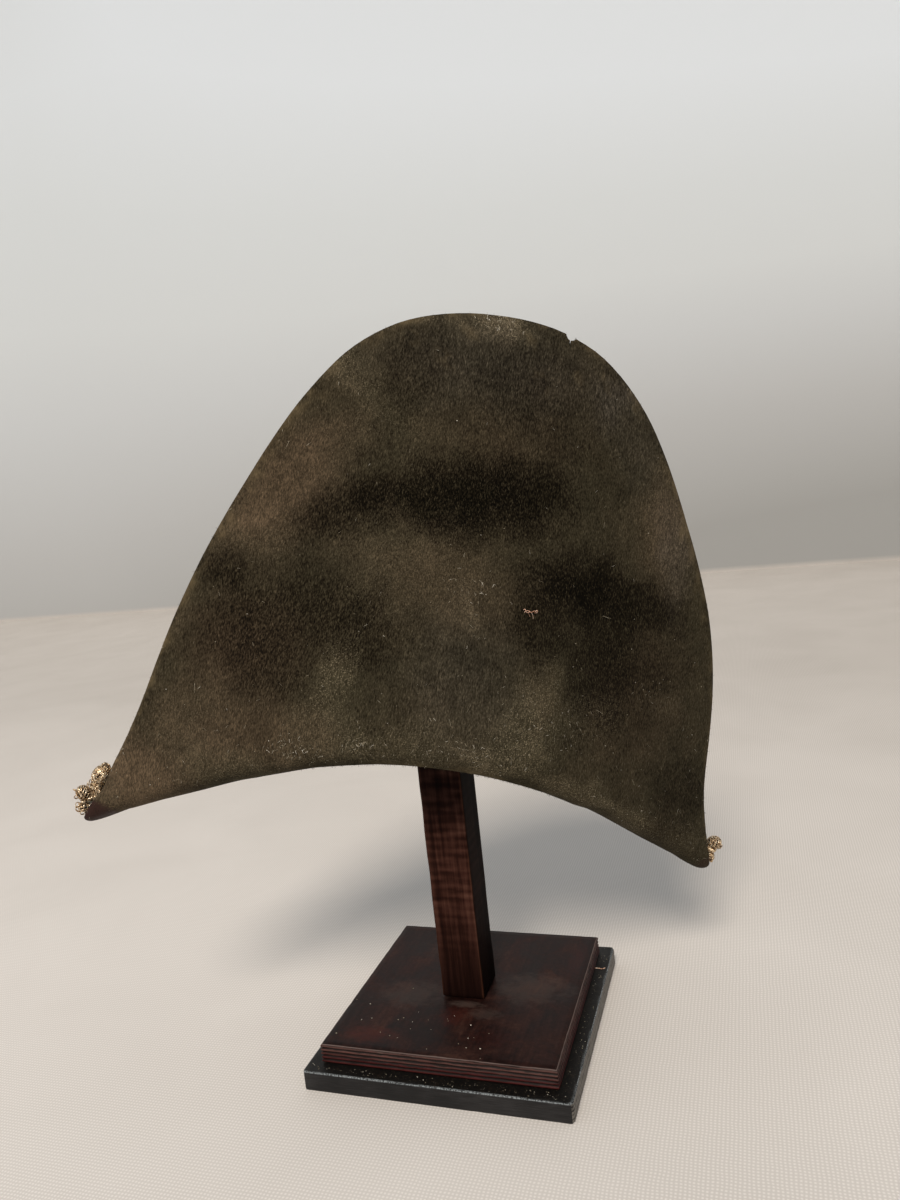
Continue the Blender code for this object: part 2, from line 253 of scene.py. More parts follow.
def edit_whole(**steps):
    """Takes the active piece through mesh steps, the whole of it selected for each."""
    bpy.ops.object.mode_set(mode="EDIT")
    for step, settings in steps.items():
        bpy.ops.mesh.select_all(action="SELECT")
        getattr(bpy.ops.mesh, step)(**settings)
    bpy.ops.object.mode_set(mode="OBJECT")


def raised_grid(name, side, cells, floor, rows):
    """A square grid raised row by row, each row by its height and drawn in to its half side."""
    grid = new_piece(
        name, "grid", x_subdivisions=cells, y_subdivisions=cells, size=side, location=(0, 0, floor)
    )
    bpy.ops.object.mode_set(mode="EDIT")
    bpy.ops.mesh.select_mode(type="FACE")
    bpy.ops.mesh.select_all(action="SELECT")
    for rise, factor in rows:
        if rise:
            bpy.ops.mesh.extrude_region_move(TRANSFORM_OT_translate={"value": (0, 0, rise)})
        if factor != 1:
            bpy.ops.transform.resize(value=(factor, factor, 1), center_override=(0, 0, floor))
    edit_whole(normals_make_consistent={})
    return grid


def modify(piece, kind, **settings):
    """Gives the active piece a modifier with these settings and applies it."""
    modifier = piece.modifiers.new(kind.lower(), kind)
    for name, value in settings.items():
        setattr(modifier, name, value)
    bpy.ops.object.modifier_apply(modifier=modifier.name)


def round_corners(piece, width, degrees):
    """Bevels the edges of a piece that are sharper than an angle."""
    modify(
        piece, "BEVEL", width=width, segments=3, limit_method="ANGLE",
        angle_limit=radians(degrees),
    )


def turned_edge_board(name, side, cells, floor, edge_profile, corner):
    """A square board raised row by row from a grid, each row set in by its own amount."""
    rows = [(0, (side / 2 - edge_profile[0][1]) / (side / 2))]
    for (low, inset), (high, next_inset) in zip(edge_profile, edge_profile[1:]):
        rows.append((high - low, (side / 2 - next_inset) / (side / 2 - inset)))
    board = raised_grid(name, side, cells, floor, rows)
    round_corners(board, corner, 70)
    return board


def wear_edges(board, low, high, half, waver, dents, seed):
    """Lets the rows of a board's edge waver a little up and down, and dents them inwards."""
    shift = Vector((seed, 0.0, 0.0))
    for vertex in board.data.vertices:
        at = vertex.co
        if max(abs(at.x), abs(at.y)) < half - 0.004:
            continue
        if low + 0.0009 < at.z < high - 0.0009:
            at.z += waver * noise.noise(at * 60 + shift)
        dent = dents * max(0.0, noise.noise(Vector((at.x, at.y, at.z * 3)) * 220 + shift) - 0.05)
        if abs(at.x) > abs(at.y):
            at.x -= copysign(dent, at.x)
        else:
            at.y -= copysign(dent, at.y)


def smooth_shade(piece, degrees):
    """Shades a piece smooth, apart from edges sharper than an angle."""
    pick(piece)
    bpy.ops.object.shade_smooth_by_angle(angle=radians(degrees))


lower_board = turned_edge_board("painted_lower_board", LOWER_SIDE, LOWER_CELLS, 0.0, LOWER_EDGE, 0.0025)
wear_edges(lower_board, 0.0, LOWER_THICK, LOWER_SIDE / 2, 0.00020, 0.0003, 3.1)
for vertex in lower_board.data.vertices:
    if vertex.co.x > LOWER_SIDE / 2 - SLOPE_WIDTH:
        vertex.co.x = LOWER_SIDE / 2 - (LOWER_SIDE / 2 - vertex.co.x) * SLOPE_GAIN
smooth_shade(lower_board, 28)

# Black emulsion brushed on plywood: a satin, slightly blue black with faint strokes along
# each side; rubbed to the grey wood at the top arris and dusty brown on the ledge.
paint, add, place = new_material("brushed_black_paint")
axes = split(add, place)
facing = split(add, add("NewGeometry", out="Normal"))
strokes_along = add("Mapping", Vector=place, Scale=(1.0, 1.0, 22.0))
strokes = add("TexNoise", Vector=strokes_along, Scale=60.0, Detail=6.0, Roughness=0.65)
patches = add("TexNoise", Vector=place, Scale=26.0, Detail=4.0)
grit = add("TexNoise", Vector=place, Scale=900.0, Detail=3.0, Roughness=0.7)
mix_of_both = add("Math MULTIPLY_ADD", (strokes, 0.6, add("Math MULTIPLY", (patches, 0.4))))
painted = add("ValToRGB", (mix_of_both,), ((0.36, "#0f0f10"), (0.5, "#1b1a1b"), (0.62, "#292829")))
dust = add(
    "ValToRGB", (grit,), ((0.42, "#050505"), (0.58, "#100e0c"), (0.68, "#2c241c"), (0.78, "#76674f")),
)
lying = add("MapRange", (facing["Z"], 0.75, 0.98))
dusted = add("Mix", (lying, painted, dust))
lip = add("MapRange", (axes["Z"], 0.0137, 0.0144))
not_lying = add("Math SUBTRACT", (1.0, lying))
chips = add("MapRange", (grit, 0.4, 0.58, 0, 0.95))
bare = add("Math MULTIPLY", (lip, not_lying))
bare = add("Math MULTIPLY", (bare, chips))
worn = add("Mix", (bare, dusted, linear("#959da2")))
ply_lines = add("Math FRACT", (add("Math MULTIPLY_ADD", (axes["Z"], 1 / 0.0028, -0.07)),))
between = add("MapRange", (ply_lines, 0.12, 0.4, 0, 0.8))
right_side = add("MapRange", (facing["X"], 0.6, 0.9))
right_side = add("Math MULTIPLY", (right_side, between))
worn = add("Mix", (right_side, worn, linear("#7e7972")))
sheen = add("MapRange", (strokes, 0, 1, 0.42, 0.66))
relief_height = add("Math MULTIPLY_ADD", (grit, 0.35, strokes))
look = {"Base Color": worn, "Roughness": sheen, "Specular IOR Level": 0.24}
surface(add, look, (relief_height, 0.35, 0.0004))
lower_board.data.materials.append(paint)
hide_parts("base_board")
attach(lower_board, "root")

# Upper board: five-ply board glued and screwed on the lower one from below, stained dark
# red brown. Its plies stand as ridges with shrunken glue lines between them.
UPPER_SIDE = 0.178
UPPER_LOW = 0.0153
UPPER_THICK = 0.0145
UPPER_CELLS = 36
UPPER_PLIES = 5
PLY_ROUND = (
    # share of the ply's thickness, in from the edge
    (0.06, 0.00150), (0.24, 0.00030), (0.46, 0.00000), (0.68, 0.00008), (0.88, 0.00090),
)

ply = UPPER_THICK / UPPER_PLIES
upper_edge = [(0.0, 0.0007)]
for layer in range(UPPER_PLIES):
    for share, inset in PLY_ROUND:
        step_in = 0.00012 * (layer % 2)
        upper_edge.append(((layer + share) * ply, inset + step_in))
upper_edge.append((UPPER_THICK, 0.0013))

upper_board = turned_edge_board(
    "stained_upper_board", UPPER_SIDE, UPPER_CELLS, UPPER_LOW, upper_edge, 0.0022
)
wear_edges(upper_board, UPPER_LOW, UPPER_LOW + UPPER_THICK, UPPER_SIDE / 2, 0.00022, 0.0007, 8.4)
smooth_shade(upper_board, 50)

# Dark mahogany stain under a thin wax on birch ply: cloudy brown black on the top with
# greyish scuffs and red rubs, redder on the cut edges and greyer towards their top, partly as a
# painted highlight on the ridges, darker in the glue lines, which are drawn wide over the grooves
# between the ridges as painted shade, and with a painted highlight along the top arris.
stain, add, place = new_material("mahogany_stained_plywood")
axes = split(add, place)
facing = split(add, add("NewGeometry", out="Normal"))
grain_along = add("Mapping", Vector=place, Scale=(9.0, 1.0, 1.0))
grain = add("TexNoise", Vector=grain_along, Scale=38.0, Detail=6.0, Roughness=0.6)
clouds = add("TexNoise", Vector=place, Scale=30.0, Detail=6.0, Roughness=0.62, Distortion=0.9)
mottle = add("TexNoise", Vector=place, Scale=420.0, Detail=4.0, Roughness=0.7)
tone = add("Math MULTIPLY", (grain, 0.25))
tone = add("Math MULTIPLY_ADD", (clouds, 0.75, tone))
tone = add("Math MULTIPLY_ADD", (mottle, 0.34, tone))
top_stain = add(
    "ValToRGB", (tone,), ((0.5, "#0d0504"), (0.62, "#190b09"), (0.73, "#281511"), (0.85, "#39241d")),
)
RUBS = (
    # colour, place on the board's top, half widths, strength
    ("#4a1a12", -0.056, -0.071, 0.030, 0.014, 0.34),
    ("#4a1a12", 0.000, -0.040, 0.018, 0.018, 0.26),
    ("#4a1a12", 0.036, -0.062, 0.028, 0.014, 0.12),
    ("#4a1a12", 0.078, 0.050, 0.012, 0.036, 0.16),
    ("#4c403b", 0.050, 0.004, 0.046, 0.030, 0.30),
    ("#4c403b", 0.004, -0.024, 0.022, 0.006, 0.55),
    ("#4c403b", 0.022, -0.034, 0.020, 0.010, 0.35),
    ("#4c403b", -0.044, -0.016, 0.042, 0.026, 0.25),
    ("#4c403b", -0.020, 0.052, 0.050, 0.022, 0.15),
)
marked = top_stain
for colour, across, back, half_width, half_depth, strength in RUBS:
    spot = {"Vector": place, "Location": (across, back, 0.0298), "Scale": (half_width, half_depth, 0.02)}
    spot = add("Mapping", spot, vector_type="TEXTURE")
    wobble = add("TexNoise", Vector=spot, Scale=3.2, Detail=8.0, Roughness=0.72)
    ragged = add("Math MULTIPLY_ADD", (wobble, -2.2, 1.9))
    away = add("VectorMath LENGTH", (spot,))
    cover = add("Math SUBTRACT", (ragged, away))
    cover = add("MapRange", (cover, 0.0, 0.5, 0, strength))
    marked = add("Mix", (cover, marked, linear(colour)))
height = add("MapRange", (axes["Z"], UPPER_LOW, UPPER_LOW + UPPER_THICK))
edge_along = add("Mapping", Vector=place, Scale=(1.0, 1.0, 5.0))
edge_noise = add("TexNoise", Vector=edge_along, Scale=90.0, Detail=5.0, Roughness=0.65)
# The cut edges greyer and lighter towards the top, partly a painted highlight on the ridges
edge_tone = add("Math MULTIPLY", (edge_noise, 0.6))
edge_tone = add("Math MULTIPLY_ADD", (height, 0.55, edge_tone))
edge_stain = add("ValToRGB", (edge_tone,), (
    (0.22, "#260c0b"), (0.36, "#451a19"), (0.5, "#3c1817"), (0.66, "#583b36"), (0.84, "#4a3531"),
    (1.0, "#7e6b65"),
))
phase = add("Math MULTIPLY", (height, UPPER_PLIES))
phase = add("Math FRACT", (phase,))
from_middle = add("Math SUBTRACT", (phase, 0.5))
from_middle = add("Math ABSOLUTE", (from_middle,))
# Dark glue lines, drawn wide over the grooves between the ridges as painted shade
glue_line_and_groove_shade = add("Math MULTIPLY_ADD", (edge_noise, 0.55, from_middle))
glue_line_and_groove_shade = add("MapRange", (glue_line_and_groove_shade, 0.4, 0.6, 0, 0.97))
edge_lined = add("Mix", (glue_line_and_groove_shade, edge_stain, linear("#0b0504")))
lying = add("MapRange", (facing["Z"], 0.8, 0.97))
colour = add("Mix", (lying, edge_lined, marked))
# A painted highlight along the top arris
painted_arris_highlight = add("MapRange", (height, 0.955, 0.985, 0, 0.8))
painted_arris_highlight = add("Math SUBTRACT", (painted_arris_highlight, lying), use_clamp=True)
colour = add("Mix", (painted_arris_highlight, colour, linear("#7f6d68")))
pores = add("TexNoise", Vector=place, Scale=1100.0, Detail=2.0)
relief_height = add("Math MULTIPLY_ADD", (pores, 0.4, grain))
gloss = add("MapRange", (clouds, 0.3, 0.7, 0.42, 0.6))
look = {"Base Color": colour, "Roughness": gloss, "Specular IOR Level": 0.13}
surface(add, look, (relief_height, 0.22, 0.0003))
upper_board.data.materials.append(stain)
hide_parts("plinth_board")
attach(upper_board, "root")

# Post: a planed square length of softwood screwed up through both boards, stained like
# the upper board. The planer left faint bands across its upper half.
POST_LOW = 0.0301
POST_SIDE = 0.034
POST_LENGTH = 0.328
POST_ROWS = 82
POST_CELLS = 10
POST_CORNER = 0.0011
POST_WEAR = 0.0006

step = POST_LENGTH / POST_ROWS
post = raised_grid("stained_post", POST_SIDE, POST_CELLS, POST_LOW, [(step, 1)] * POST_ROWS)
round_corners(post, POST_CORNER, 30)
for vertex in post.data.vertices:
    at = vertex.co
    corner = min(abs(at.x), abs(at.y)) > POST_SIDE / 2 - 0.003
    knock = max(0.0, noise.noise(Vector((at.x * 30, at.y * 30, at.z * 45)))) if corner else 0.0
    ends = min(at.z - POST_LOW, POST_LOW + POST_LENGTH - at.z)
    round_end = max(0.0, 0.0010 - ends) * 0.6
    pull = 1 - (POST_WEAR * knock + round_end) / (POST_SIDE / 2)
    at.x *= pull
    at.y *= pull
smooth_shade(post, 40)

# Softwood with a dark red-brown stain and a thin wax: fine upright grain, the planer's
# bands 7 mm apart, the arrises rubbed to orange wood. The right face is painted near black as
# shade, the upper part darker as a painted shadow of the hat, and the post darker towards the bottom.
post_stain, add, place = new_material("mahogany_stained_softwood")
axes = split(add, place)
grain_along = add("Mapping", Vector=place, Scale=(1.0, 1.0, 0.05))
grain = add("TexNoise", Vector=grain_along, Scale=260.0, Detail=5.0, Roughness=0.6)
broad_grain = add("TexNoise", Vector=grain_along, Scale=90.0, Detail=3.0, Distortion=0.4)
bands_along = add("Mapping", Vector=place, Scale=(0.25, 0.25, 1.0))
bands = add("TexNoise", Vector=bands_along, Scale=150.0, Detail=2.0, Roughness=0.5)
knife_marks = add(
    "TexWave", Vector=bands_along, Scale=45.0, Distortion=1.4, Detail=2.0, out="Fac",
    bands_direction="Z",
)
bands = add("Math MULTIPLY_ADD", (knife_marks, 0.16, bands))
upper_half = add("MapRange", (axes["Z"], 0.05, 0.12))
band_part = add("Math SUBTRACT", (bands, 0.58))
band_part = add("Math MULTIPLY", (band_part, upper_half))
tone = add("Math MULTIPLY_ADD", (broad_grain, 0.26, 0.16))
for part, weight in ((grain, 0.42), (band_part, 0.34)):
    tone = add("Math MULTIPLY_ADD", (part, weight, tone))
stained = add(
    "ValToRGB", (tone,), ((0.36, "#120706"), (0.47, "#26140f"), (0.57, "#3e261f"), (0.72, "#5c4035")),
)
# Darker towards the bottom, and higher up a painted shadow of the hat
low_dark = add("MapRange", (axes["Z"], 0.03, 0.1, 0.72, 0.0))
painted_hat_shadow = add("MapRange", (axes["Z"], 0.15, 0.2, 0.0, 0.42))
facing = split(add, add("NewGeometry", out="Normal"))
# Painted shade: the right face near black
painted_shade_right_face = add("MapRange", (facing["X"], 0.5, 0.9, 0, 0.78))
for share in (low_dark, painted_hat_shadow, painted_shade_right_face):
    stained = add("Mix", (share, stained, linear("#0a0505")))
reach = split(add, add("VectorMath ABSOLUTE", (place,)))
nearest = add("Math MINIMUM", (reach["X"], reach["Y"]))
rub_along = add("Mapping", Vector=place, Scale=(1.0, 1.0, 0.25))
rub_noise = add("TexNoise", Vector=rub_along, Scale=70.0, Detail=3.0)
rub = add("Math MULTIPLY_ADD", (rub_noise, 0.005, nearest))
rubbed = add("MapRange", (rub, 0.0184, 0.02, 0, 0.5))
colour = add("Mix", (rubbed, stained, linear("#553526")))
relief_height = add("Math MULTIPLY_ADD", (band_part, 0.8, grain))
look = {"Base Color": colour, "Roughness": 0.58, "IOR": 1.12, "Specular IOR Level": 0.3}
surface(add, look, (relief_height, 0.3, 0.0005))
post.data.materials.append(post_stain)
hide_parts("post")
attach(post, "root")

# Hat: one thick felt body of wool and fur, blocked over a crown and turned up in two tall
# flaps that meet at the tips. Worn thin on its edges, stained, dusty and nicked at the top.
HAT_SEAT = (-0.0275, -0.0146, 0.1600)
HAT_TURN, HAT_TILT = 28.0, 14.45
HAT_FRAME = (
    Matrix.Translation(HAT_SEAT)
    @ Matrix.Rotation(radians(HAT_TURN), 4, "Z")
    @ Matrix.Rotation(radians(HAT_TILT), 4, "Y")
)
HAT_MIDDLE_UP = 0.150
UNEVEN_FELT = 0.0005
UNEVEN_REACH = 0.030
NOISE_SEED = 1809
MARKS = {
    # across, up, half width, half height in mm in the hat's own frame, turn in degrees, strength
    # dark grime and damp in the hollows, also painted shade there
    "grime_and_painted_shade": (
        (-2, 263, 72, 30, -6, 0.84), (-70, 250, 40, 19, -18, 0.6), (-96, 232, 40, 24, -30, 0.3),
        (34, 276, 40, 24, 0, 0.45), (88, 210, 50, 26, 0, 1.0), (52, 186, 34, 30, 35, 0.5),
        (142, 200, 46, 22, 0, 0.5), (112, 154, 30, 42, -10, 0.5), (140, 152, 50, 50, 0, 0.25),
        (-128, 162, 42, 42, 0, 0.42), (-76, 173, 36, 28, 0, 0.46), (-118, 122, 20, 20, 0, 0.22),
        (-164, 188, 20, 13, 30, 0.45), (-64, 150, 24, 18, 0, 0.25), (-150, 136, 30, 24, 0, 0.2),
        (-52, 345, 26, 46, 0, 0.28), (34, 340, 66, 44, 0, 0.28), (112, 118, 28, 26, 0, 0.3),
        (196, 52, 34, 50, 0, 0.3),
    ),
    # dust, and painted light along the lower fold, which lies in shade
    "dust": (
        (-58, 308, 36, 20, 0, 0.2), (64, 148, 20, 20, 0, 0.2), (88, 68, 26, 11, 20, 0.75),
        (124, 56, 28, 13, 24, 0.9), (160, 38, 26, 12, 26, 0.75), (40, 78, 26, 8, 8, 0.4),
        (-150, 52, 40, 8, -12, 0.3), (110, 120, 34, 26, 0, 0.3), (-28, 206, 60, 42, 0, 0.25),
        (-103, 73, 16, 9, 15, 0.45), (-59, 87, 13, 7, 10, 0.48), (20, 89, 14, 8, 0, 0.48),
        (6, 190, 12, 18, -10, 0.5), (-100, 345, 40, 14, 45, 0.5), (-80, 132, 16, 30, 15, 0.5),
        (-88, 94, 38, 24, 0, 0.42), (-22, 95, 32, 22, 0, 0.4), (56, 118, 28, 36, 20, 0.6),
        (42, 92, 38, 20, 0, 0.6), (168, 132, 20, 18, 0, 0.3), (-128, 258, 24, 70, 38, 0.6),
        (-142, 224, 28, 30, 38, 0.35), (152, 262, 24, 52, -10, 0.45), (-208, 36, 42, 36, 30, 0.85),
        (-172, 88, 26, 44, 30, 0.3), (-150, 66, 50, 18, 12, 0.35), (4, 387, 20, 8, 0, 1.0),
        (-44, 384, 40, 5, 8, 0.45), (205, 25, 30, 22, 0, 0.3),
    ),
    "brown": (
        (-130, 255, 34, 76, 38, 1.0), (-205, 40, 50, 46, 30, 0.95), (-150, 140, 44, 40, 0, 0.85),
        (-140, 90, 60, 34, 0, 0.7), (150, 130, 46, 60, 0, 0.5), (152, 262, 26, 56, -10, 0.6),
        (-20, 200, 60, 44, 0, 0.4), (20, 308, 70, 22, 0, 0.3),
    ),
    # brushed nap, with a painted grey sheen over it
    "brushed": (
        (96, 350, 26, 16, -40, 1.0), (118, 322, 26, 44, -30, 0.45), (160, 245, 18, 54, -10, 0.7),
        (10, 358, 110, 40, 0, 0.62), (4, 140, 50, 54, 0, 0.5),
    ),
    "polish": ((-236.5, 0, 21.5, 16.2, 0, 1.0), (240, -1, 10, 9, 0, 0.45)),
}
# How far the turned edge of each flap stands out past the blocked form, by its bearing
# round the hat's middle in degrees, and how the lower fold wavers across the hat
RIM_SWELL = (
    # bearing, mm
    (-180, 2.0), (-150, 0.6), (-140, 0.0), (-40, 0.0), (-20, 1.0), (15, 1.2), (35, 0.2), (51, 1.0),
    (60, 2.6), (71, 4.9), (80, 4.3), (90, 2.6), (107, 3.2), (120, 2.4), (150, 2.1), (180, 2.0),
)
FOLD_WAVER = (
    # across, up, both in mm
    (-237, -2.3), (-212, 2.1), (-187, 1.5), (-160, -0.7), (-124, -2.8), (-85, 0.0), (-45, 0.9),
    (0, 0.0), (80, -0.4), (108, -1.9), (140, -0.4), (195, 2.0), (212, 2.0), (237, -2.4),
)

# The stitches of the left tassel pull the turned edge in above the tip
PINCH_AT = (-0.2310, 0.0250)
PINCH_DEPTH = 0.0026
PINCH_REACH = 0.0095

# Outline of the nick in the hat's own frame, and where it starts and ends front to back
NICK = (
    (0.0518, 0.396), (0.0524, 0.3876), (0.0538, 0.3854), (0.0552, 0.3846), (0.0558, 0.3792),
    (0.0562, 0.3846), (0.058, 0.385), (0.0597, 0.3862), (0.0616, 0.396),
)
NICK_FRONT, NICK_DEPTH = -0.060, 0.045
BEARINGS = 240

felt_body = placed("worn_felt_body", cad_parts["felt_body"].data.copy())
felt_body.data.materials.clear()
pick(felt_body)
edit_whole(
    remove_doubles={"threshold": 0.00002},
    tris_convert_to_quads={"face_threshold": radians(40), "shape_threshold": radians(60)},
)
modify(felt_body, "SUBSURF", levels=2, render_levels=2)


def points_of(piece):
    """The places of a piece's vertices as an array."""
    values = np.empty(len(piece.data.vertices) * 3)
    piece.data.vertices.foreach_get("co", values)
    return values.reshape(-1, 3)


def edge_gap(points):
    """How far each point lies inside the outer edge of its flap, and its bearing."""
    bearing = np.arctan2(points[:, 2] - HAT_MIDDLE_UP, points[:, 0])
    radius = np.hypot(points[:, 0], points[:, 2] - HAT_MIDDLE_UP)
    bins = np.floor((bearing + pi) / (2 * pi) * BEARINGS).astype(int) % BEARINGS
    gap = np.zeros(len(points))
    for side in (-1, 1):
        flap = points[:, 1] * side >= 0
        outer = np.zeros(BEARINGS)
        np.maximum.at(outer, bins[flap], radius[flap])
        spread = np.maximum(np.maximum(outer, np.roll(outer, 1)), np.roll(outer, -1))
        outer = np.where(outer > 0, outer, spread)
        gap = np.where(flap, outer[bins] - radius, gap)
    return gap, bearing


def wandering(points, size):
    """A smooth random vector at each point, its swells about this size across."""
    return np.array([noise.noise_vector(Vector(at) / size)[:] for at in points])


# Without a seed this noise starts from the clock, and each run would give another felt
noise.seed_set(NOISE_SEED)
to_hat = np.array(HAT_FRAME.inverted())
to_room = np.array(HAT_FRAME)
hat_at = points_of(felt_body) @ to_hat[:3, :3].T + to_hat[:3, 3]

# The turned edges stand out and the lower fold wavers, both fading into the body
gap, bearing = edge_gap(hat_at)
swell = np.interp(np.degrees(bearing), *zip(*RIM_SWELL))
swell *= np.clip(1 - gap / 0.070, 0, 1) ** 2 / 1000
hat_at[:, 0] += np.cos(bearing) * swell
hat_at[:, 2] += np.sin(bearing) * swell
waver = np.interp(hat_at[:, 0] * 1000, *zip(*FOLD_WAVER))
fold_top = np.interp(np.abs(hat_at[:, 0]), (0.0, 0.13, 0.24), (0.078, 0.066, 0.004))
waver *= np.clip(1 - (hat_at[:, 2] - fold_top) / 0.030, 0, 1) / 1000
hat_at[:, 2] += waver
pinch = np.hypot(hat_at[:, 0] - PINCH_AT[0], (hat_at[:, 2] - PINCH_AT[1]) * 0.8)
hat_at[:, 0] += PINCH_DEPTH * np.exp(-((pinch / PINCH_REACH) ** 2))
felt_body.data.vertices.foreach_set("co", (hat_at @ to_room[:3, :3].T + to_room[:3, 3]).ravel())
felt_body.data.update()

# The nick in the top edge, with the short crack that runs down from it
cutter = new_piece("nick", "circle", vertices=len(NICK), radius=0.004, fill_type="NGON")
for vertex, (across, up) in zip(cutter.data.vertices, NICK):
    vertex.co = (across, NICK_FRONT, up)
edit_whole(
    extrude_region_move={"TRANSFORM_OT_translate": {"value": (0, NICK_DEPTH, 0)}},
    normals_make_consistent={},
)
cutter.data.transform(HAT_FRAME)
pick(felt_body)
modify(felt_body, "BOOLEAN", operation="DIFFERENCE", solver="EXACT", object=cutter)
bpy.data.objects.remove(cutter)
bpy.ops.object.shade_smooth_by_angle(angle=radians(50))
world_at = points_of(felt_body)
hat_at = world_at @ to_hat[:3, :3].T + to_hat[:3, 3]
near_edge = np.clip(1 - edge_gap(hat_at)[0] / 0.006, 0, 1)

# The felt is nowhere quite even; the tips, the lower fold and the crown keep their place
uneven = wandering(hat_at, UNEVEN_REACH)
keeps = np.clip((hat_at[:, 2] - 0.110) / 0.060, 0, 1) * (1 - near_edge * 0.6)
keeps *= np.clip((0.225 - np.abs(hat_at[:, 0])) / 0.06, 0, 1)
near_post = (np.abs(world_at[:, 0]) < 0.03) & (np.abs(world_at[:, 1]) < 0.03)
keeps = np.where(near_post & (np.abs(world_at[:, 2] - 0.36) < 0.02), 0.0, keeps)
world_at = world_at + uneven * (UNEVEN_FELT * keeps)[:, None]
felt_body.data.vertices.foreach_set("co", world_at.ravel())

# Marks of use and painted shade, light and sheen, laid on the outside of each flap; the short flap carries
# its own
warp = wandering(hat_at, 0.022) * 0.010
warp += wandering(hat_at, 0.008) * 0.003
paints = {kind: np.zeros(len(hat_at)) for kind in MARKS}
front = hat_at[:, 1] < 0
for kind, rows in MARKS.items():
    ragged, full, fading = (0.12, 1.0, 0.12) if kind == "polish" else (1.0, 1.35, 1.2)
    rear = (1, 1.0) if kind == "polish" else (-1, 0.7)
    for across, up, half_width, half_height, turn, strength in rows:
        lean = radians(turn)
        for face, mirror, share in ((front, 1, 1.0), (~front, *rear)):
            off_x = hat_at[:, 0] * mirror + ragged * warp[:, 0] - across / 1000
            off_z = hat_at[:, 2] + ragged * warp[:, 2] - up / 1000
            turned_x = off_x * cos(lean) - off_z * sin(lean)
            turned_z = off_x * sin(lean) + off_z * cos(lean)
            away = np.hypot(turned_x / (half_width / 1000), turned_z / (half_height / 1000))
            level = np.clip((full - away) / fading, 0, 1)
            level = level * level * (3 - 2 * level) * strength * share
            paints[kind] = np.where(face, 1 - (1 - paints[kind]) * (1 - level), paints[kind])
paints["edge"] = near_edge
for name, values in paints.items():
    felt_body.data.attributes.new(name, "FLOAT", "POINT").data.foreach_set("value", values)
felt_body.data.update()

# Wool and fur felt, once black, faded to olive and brown: matt and short-napped, its nap
# brushed in strokes under a painted grey sheen, dark where damp and grime sit in the hollows
# and where painted shade darkens them, lighter with dust and with painted light on the lower
# fold, tan where rubbed and where a painted highlight runs along the edges.
felt, add, place = new_material("faded_wool_felt")
turned = (0, radians(HAT_TILT), radians(HAT_TURN))
hat_place = {"Vector": place, "Location": HAT_SEAT, "Rotation": turned}
hat_place = add("Mapping", hat_place, vector_type="TEXTURE")
marks = {name: add("Attribute", out="Fac", attribute_name=name) for name in paints}
FELT_GRAIN = (
    # feature in mm, turn in degrees, stretch up, weight in the tone
    (60.0, 0, 1.0, 0.16),
    (17.0, 0, 0.8, 0.18),
    (5.0, 0, 0.8, 0.19),
    (1.7, 15, 0.35, 0.16),
    (0.8, -35, 0.30, 0.60),
    (0.7, 25, 0.35, 0.60),
)
tone = 0.43
# Dust and painted light lift the tone; grime and painted shade lower it
for name, weight in (("dust", 0.17), ("grime_and_painted_shade", -0.34)):
    tone = add("Math MULTIPLY_ADD", (marks[name], weight, tone))
layers = []
for feature, turn, up, weight in FELT_GRAIN:
    turned = {"Vector": hat_place, "Rotation": (0, radians(turn), 0), "Scale": (1.0, 1.0, up)}
    grain = {"Vector": add("Mapping", turned), "Scale": 1000 / feature, "Detail": 3.0, "Roughness": 0.6}
    layers.append(add("TexNoise", grain))
    centred = add("Math SUBTRACT", (layers[-1], 0.5))
    tone = add("Math MULTIPLY_ADD", (centred, weight, tone))
# Fine grain shows most in the grime and painted shade, and the brush's strokes where the nap was brushed
turned = {"Vector": hat_place, "Rotation": (0, radians(34), 0), "Scale": (1.0, 1.0, 0.2)}
strokes = add("TexNoise", Vector=add("Mapping", turned), Scale=780.0, Detail=2.0)
for part, middle, name, weight in ((layers[4], 0.5, "grime_and_painted_shade", 1.15), (strokes, 0.42, "brushed", 0.58)):
    part = add("Math SUBTRACT", (part, middle))
    part = add("Math MULTIPLY", (part, marks[name]))
    tone = add("Math MULTIPLY_ADD", (part, weight, tone))
SHADES = (0.04, 0.18, 0.30, 0.50, 0.66, 0.88)
OLIVE = ("#040301", "#120e06", "#1e1a11", "#383427", "#514b3b", "#827967")
RUST = ("#080604", "#17120c", "#271f16", "#443a2d", "#605140", "#8f7d66")
olive, rust = (add("ValToRGB", (tone,), zip(SHADES, colours)) for colours in (OLIVE, RUST))
brown_share = add("Math MULTIPLY_ADD", (layers[0], 0.9, -0.28))
brown_share = add("Math ADD", (marks["brown"], brown_share), use_clamp=True)
coloured = add("Mix", (brown_share, olive, rust))
# A painted grey sheen where the nap was brushed
painted_sheen_share = add("Math MULTIPLY", (marks["brushed"], 0.45))
grey = add(
    "ValToRGB", (tone,), ((0.1, "#0b0b0b"), (0.38, "#2a2725"), (0.58, "#474340"), (0.84, "#827d77")),
)
speck_noise = add("TexNoise", Vector=hat_place, Scale=1150.0, Detail=2.0)
specks = add("MapRange", (speck_noise, 0.58, 0.68, 0, 0.9))
specks = add("Math MULTIPLY", (specks, marks["dust"]))
clean_brown = add("Math SUBTRACT", (1.0, marks["brown"]))
specks = add("Math MULTIPLY", (specks, clean_brown))
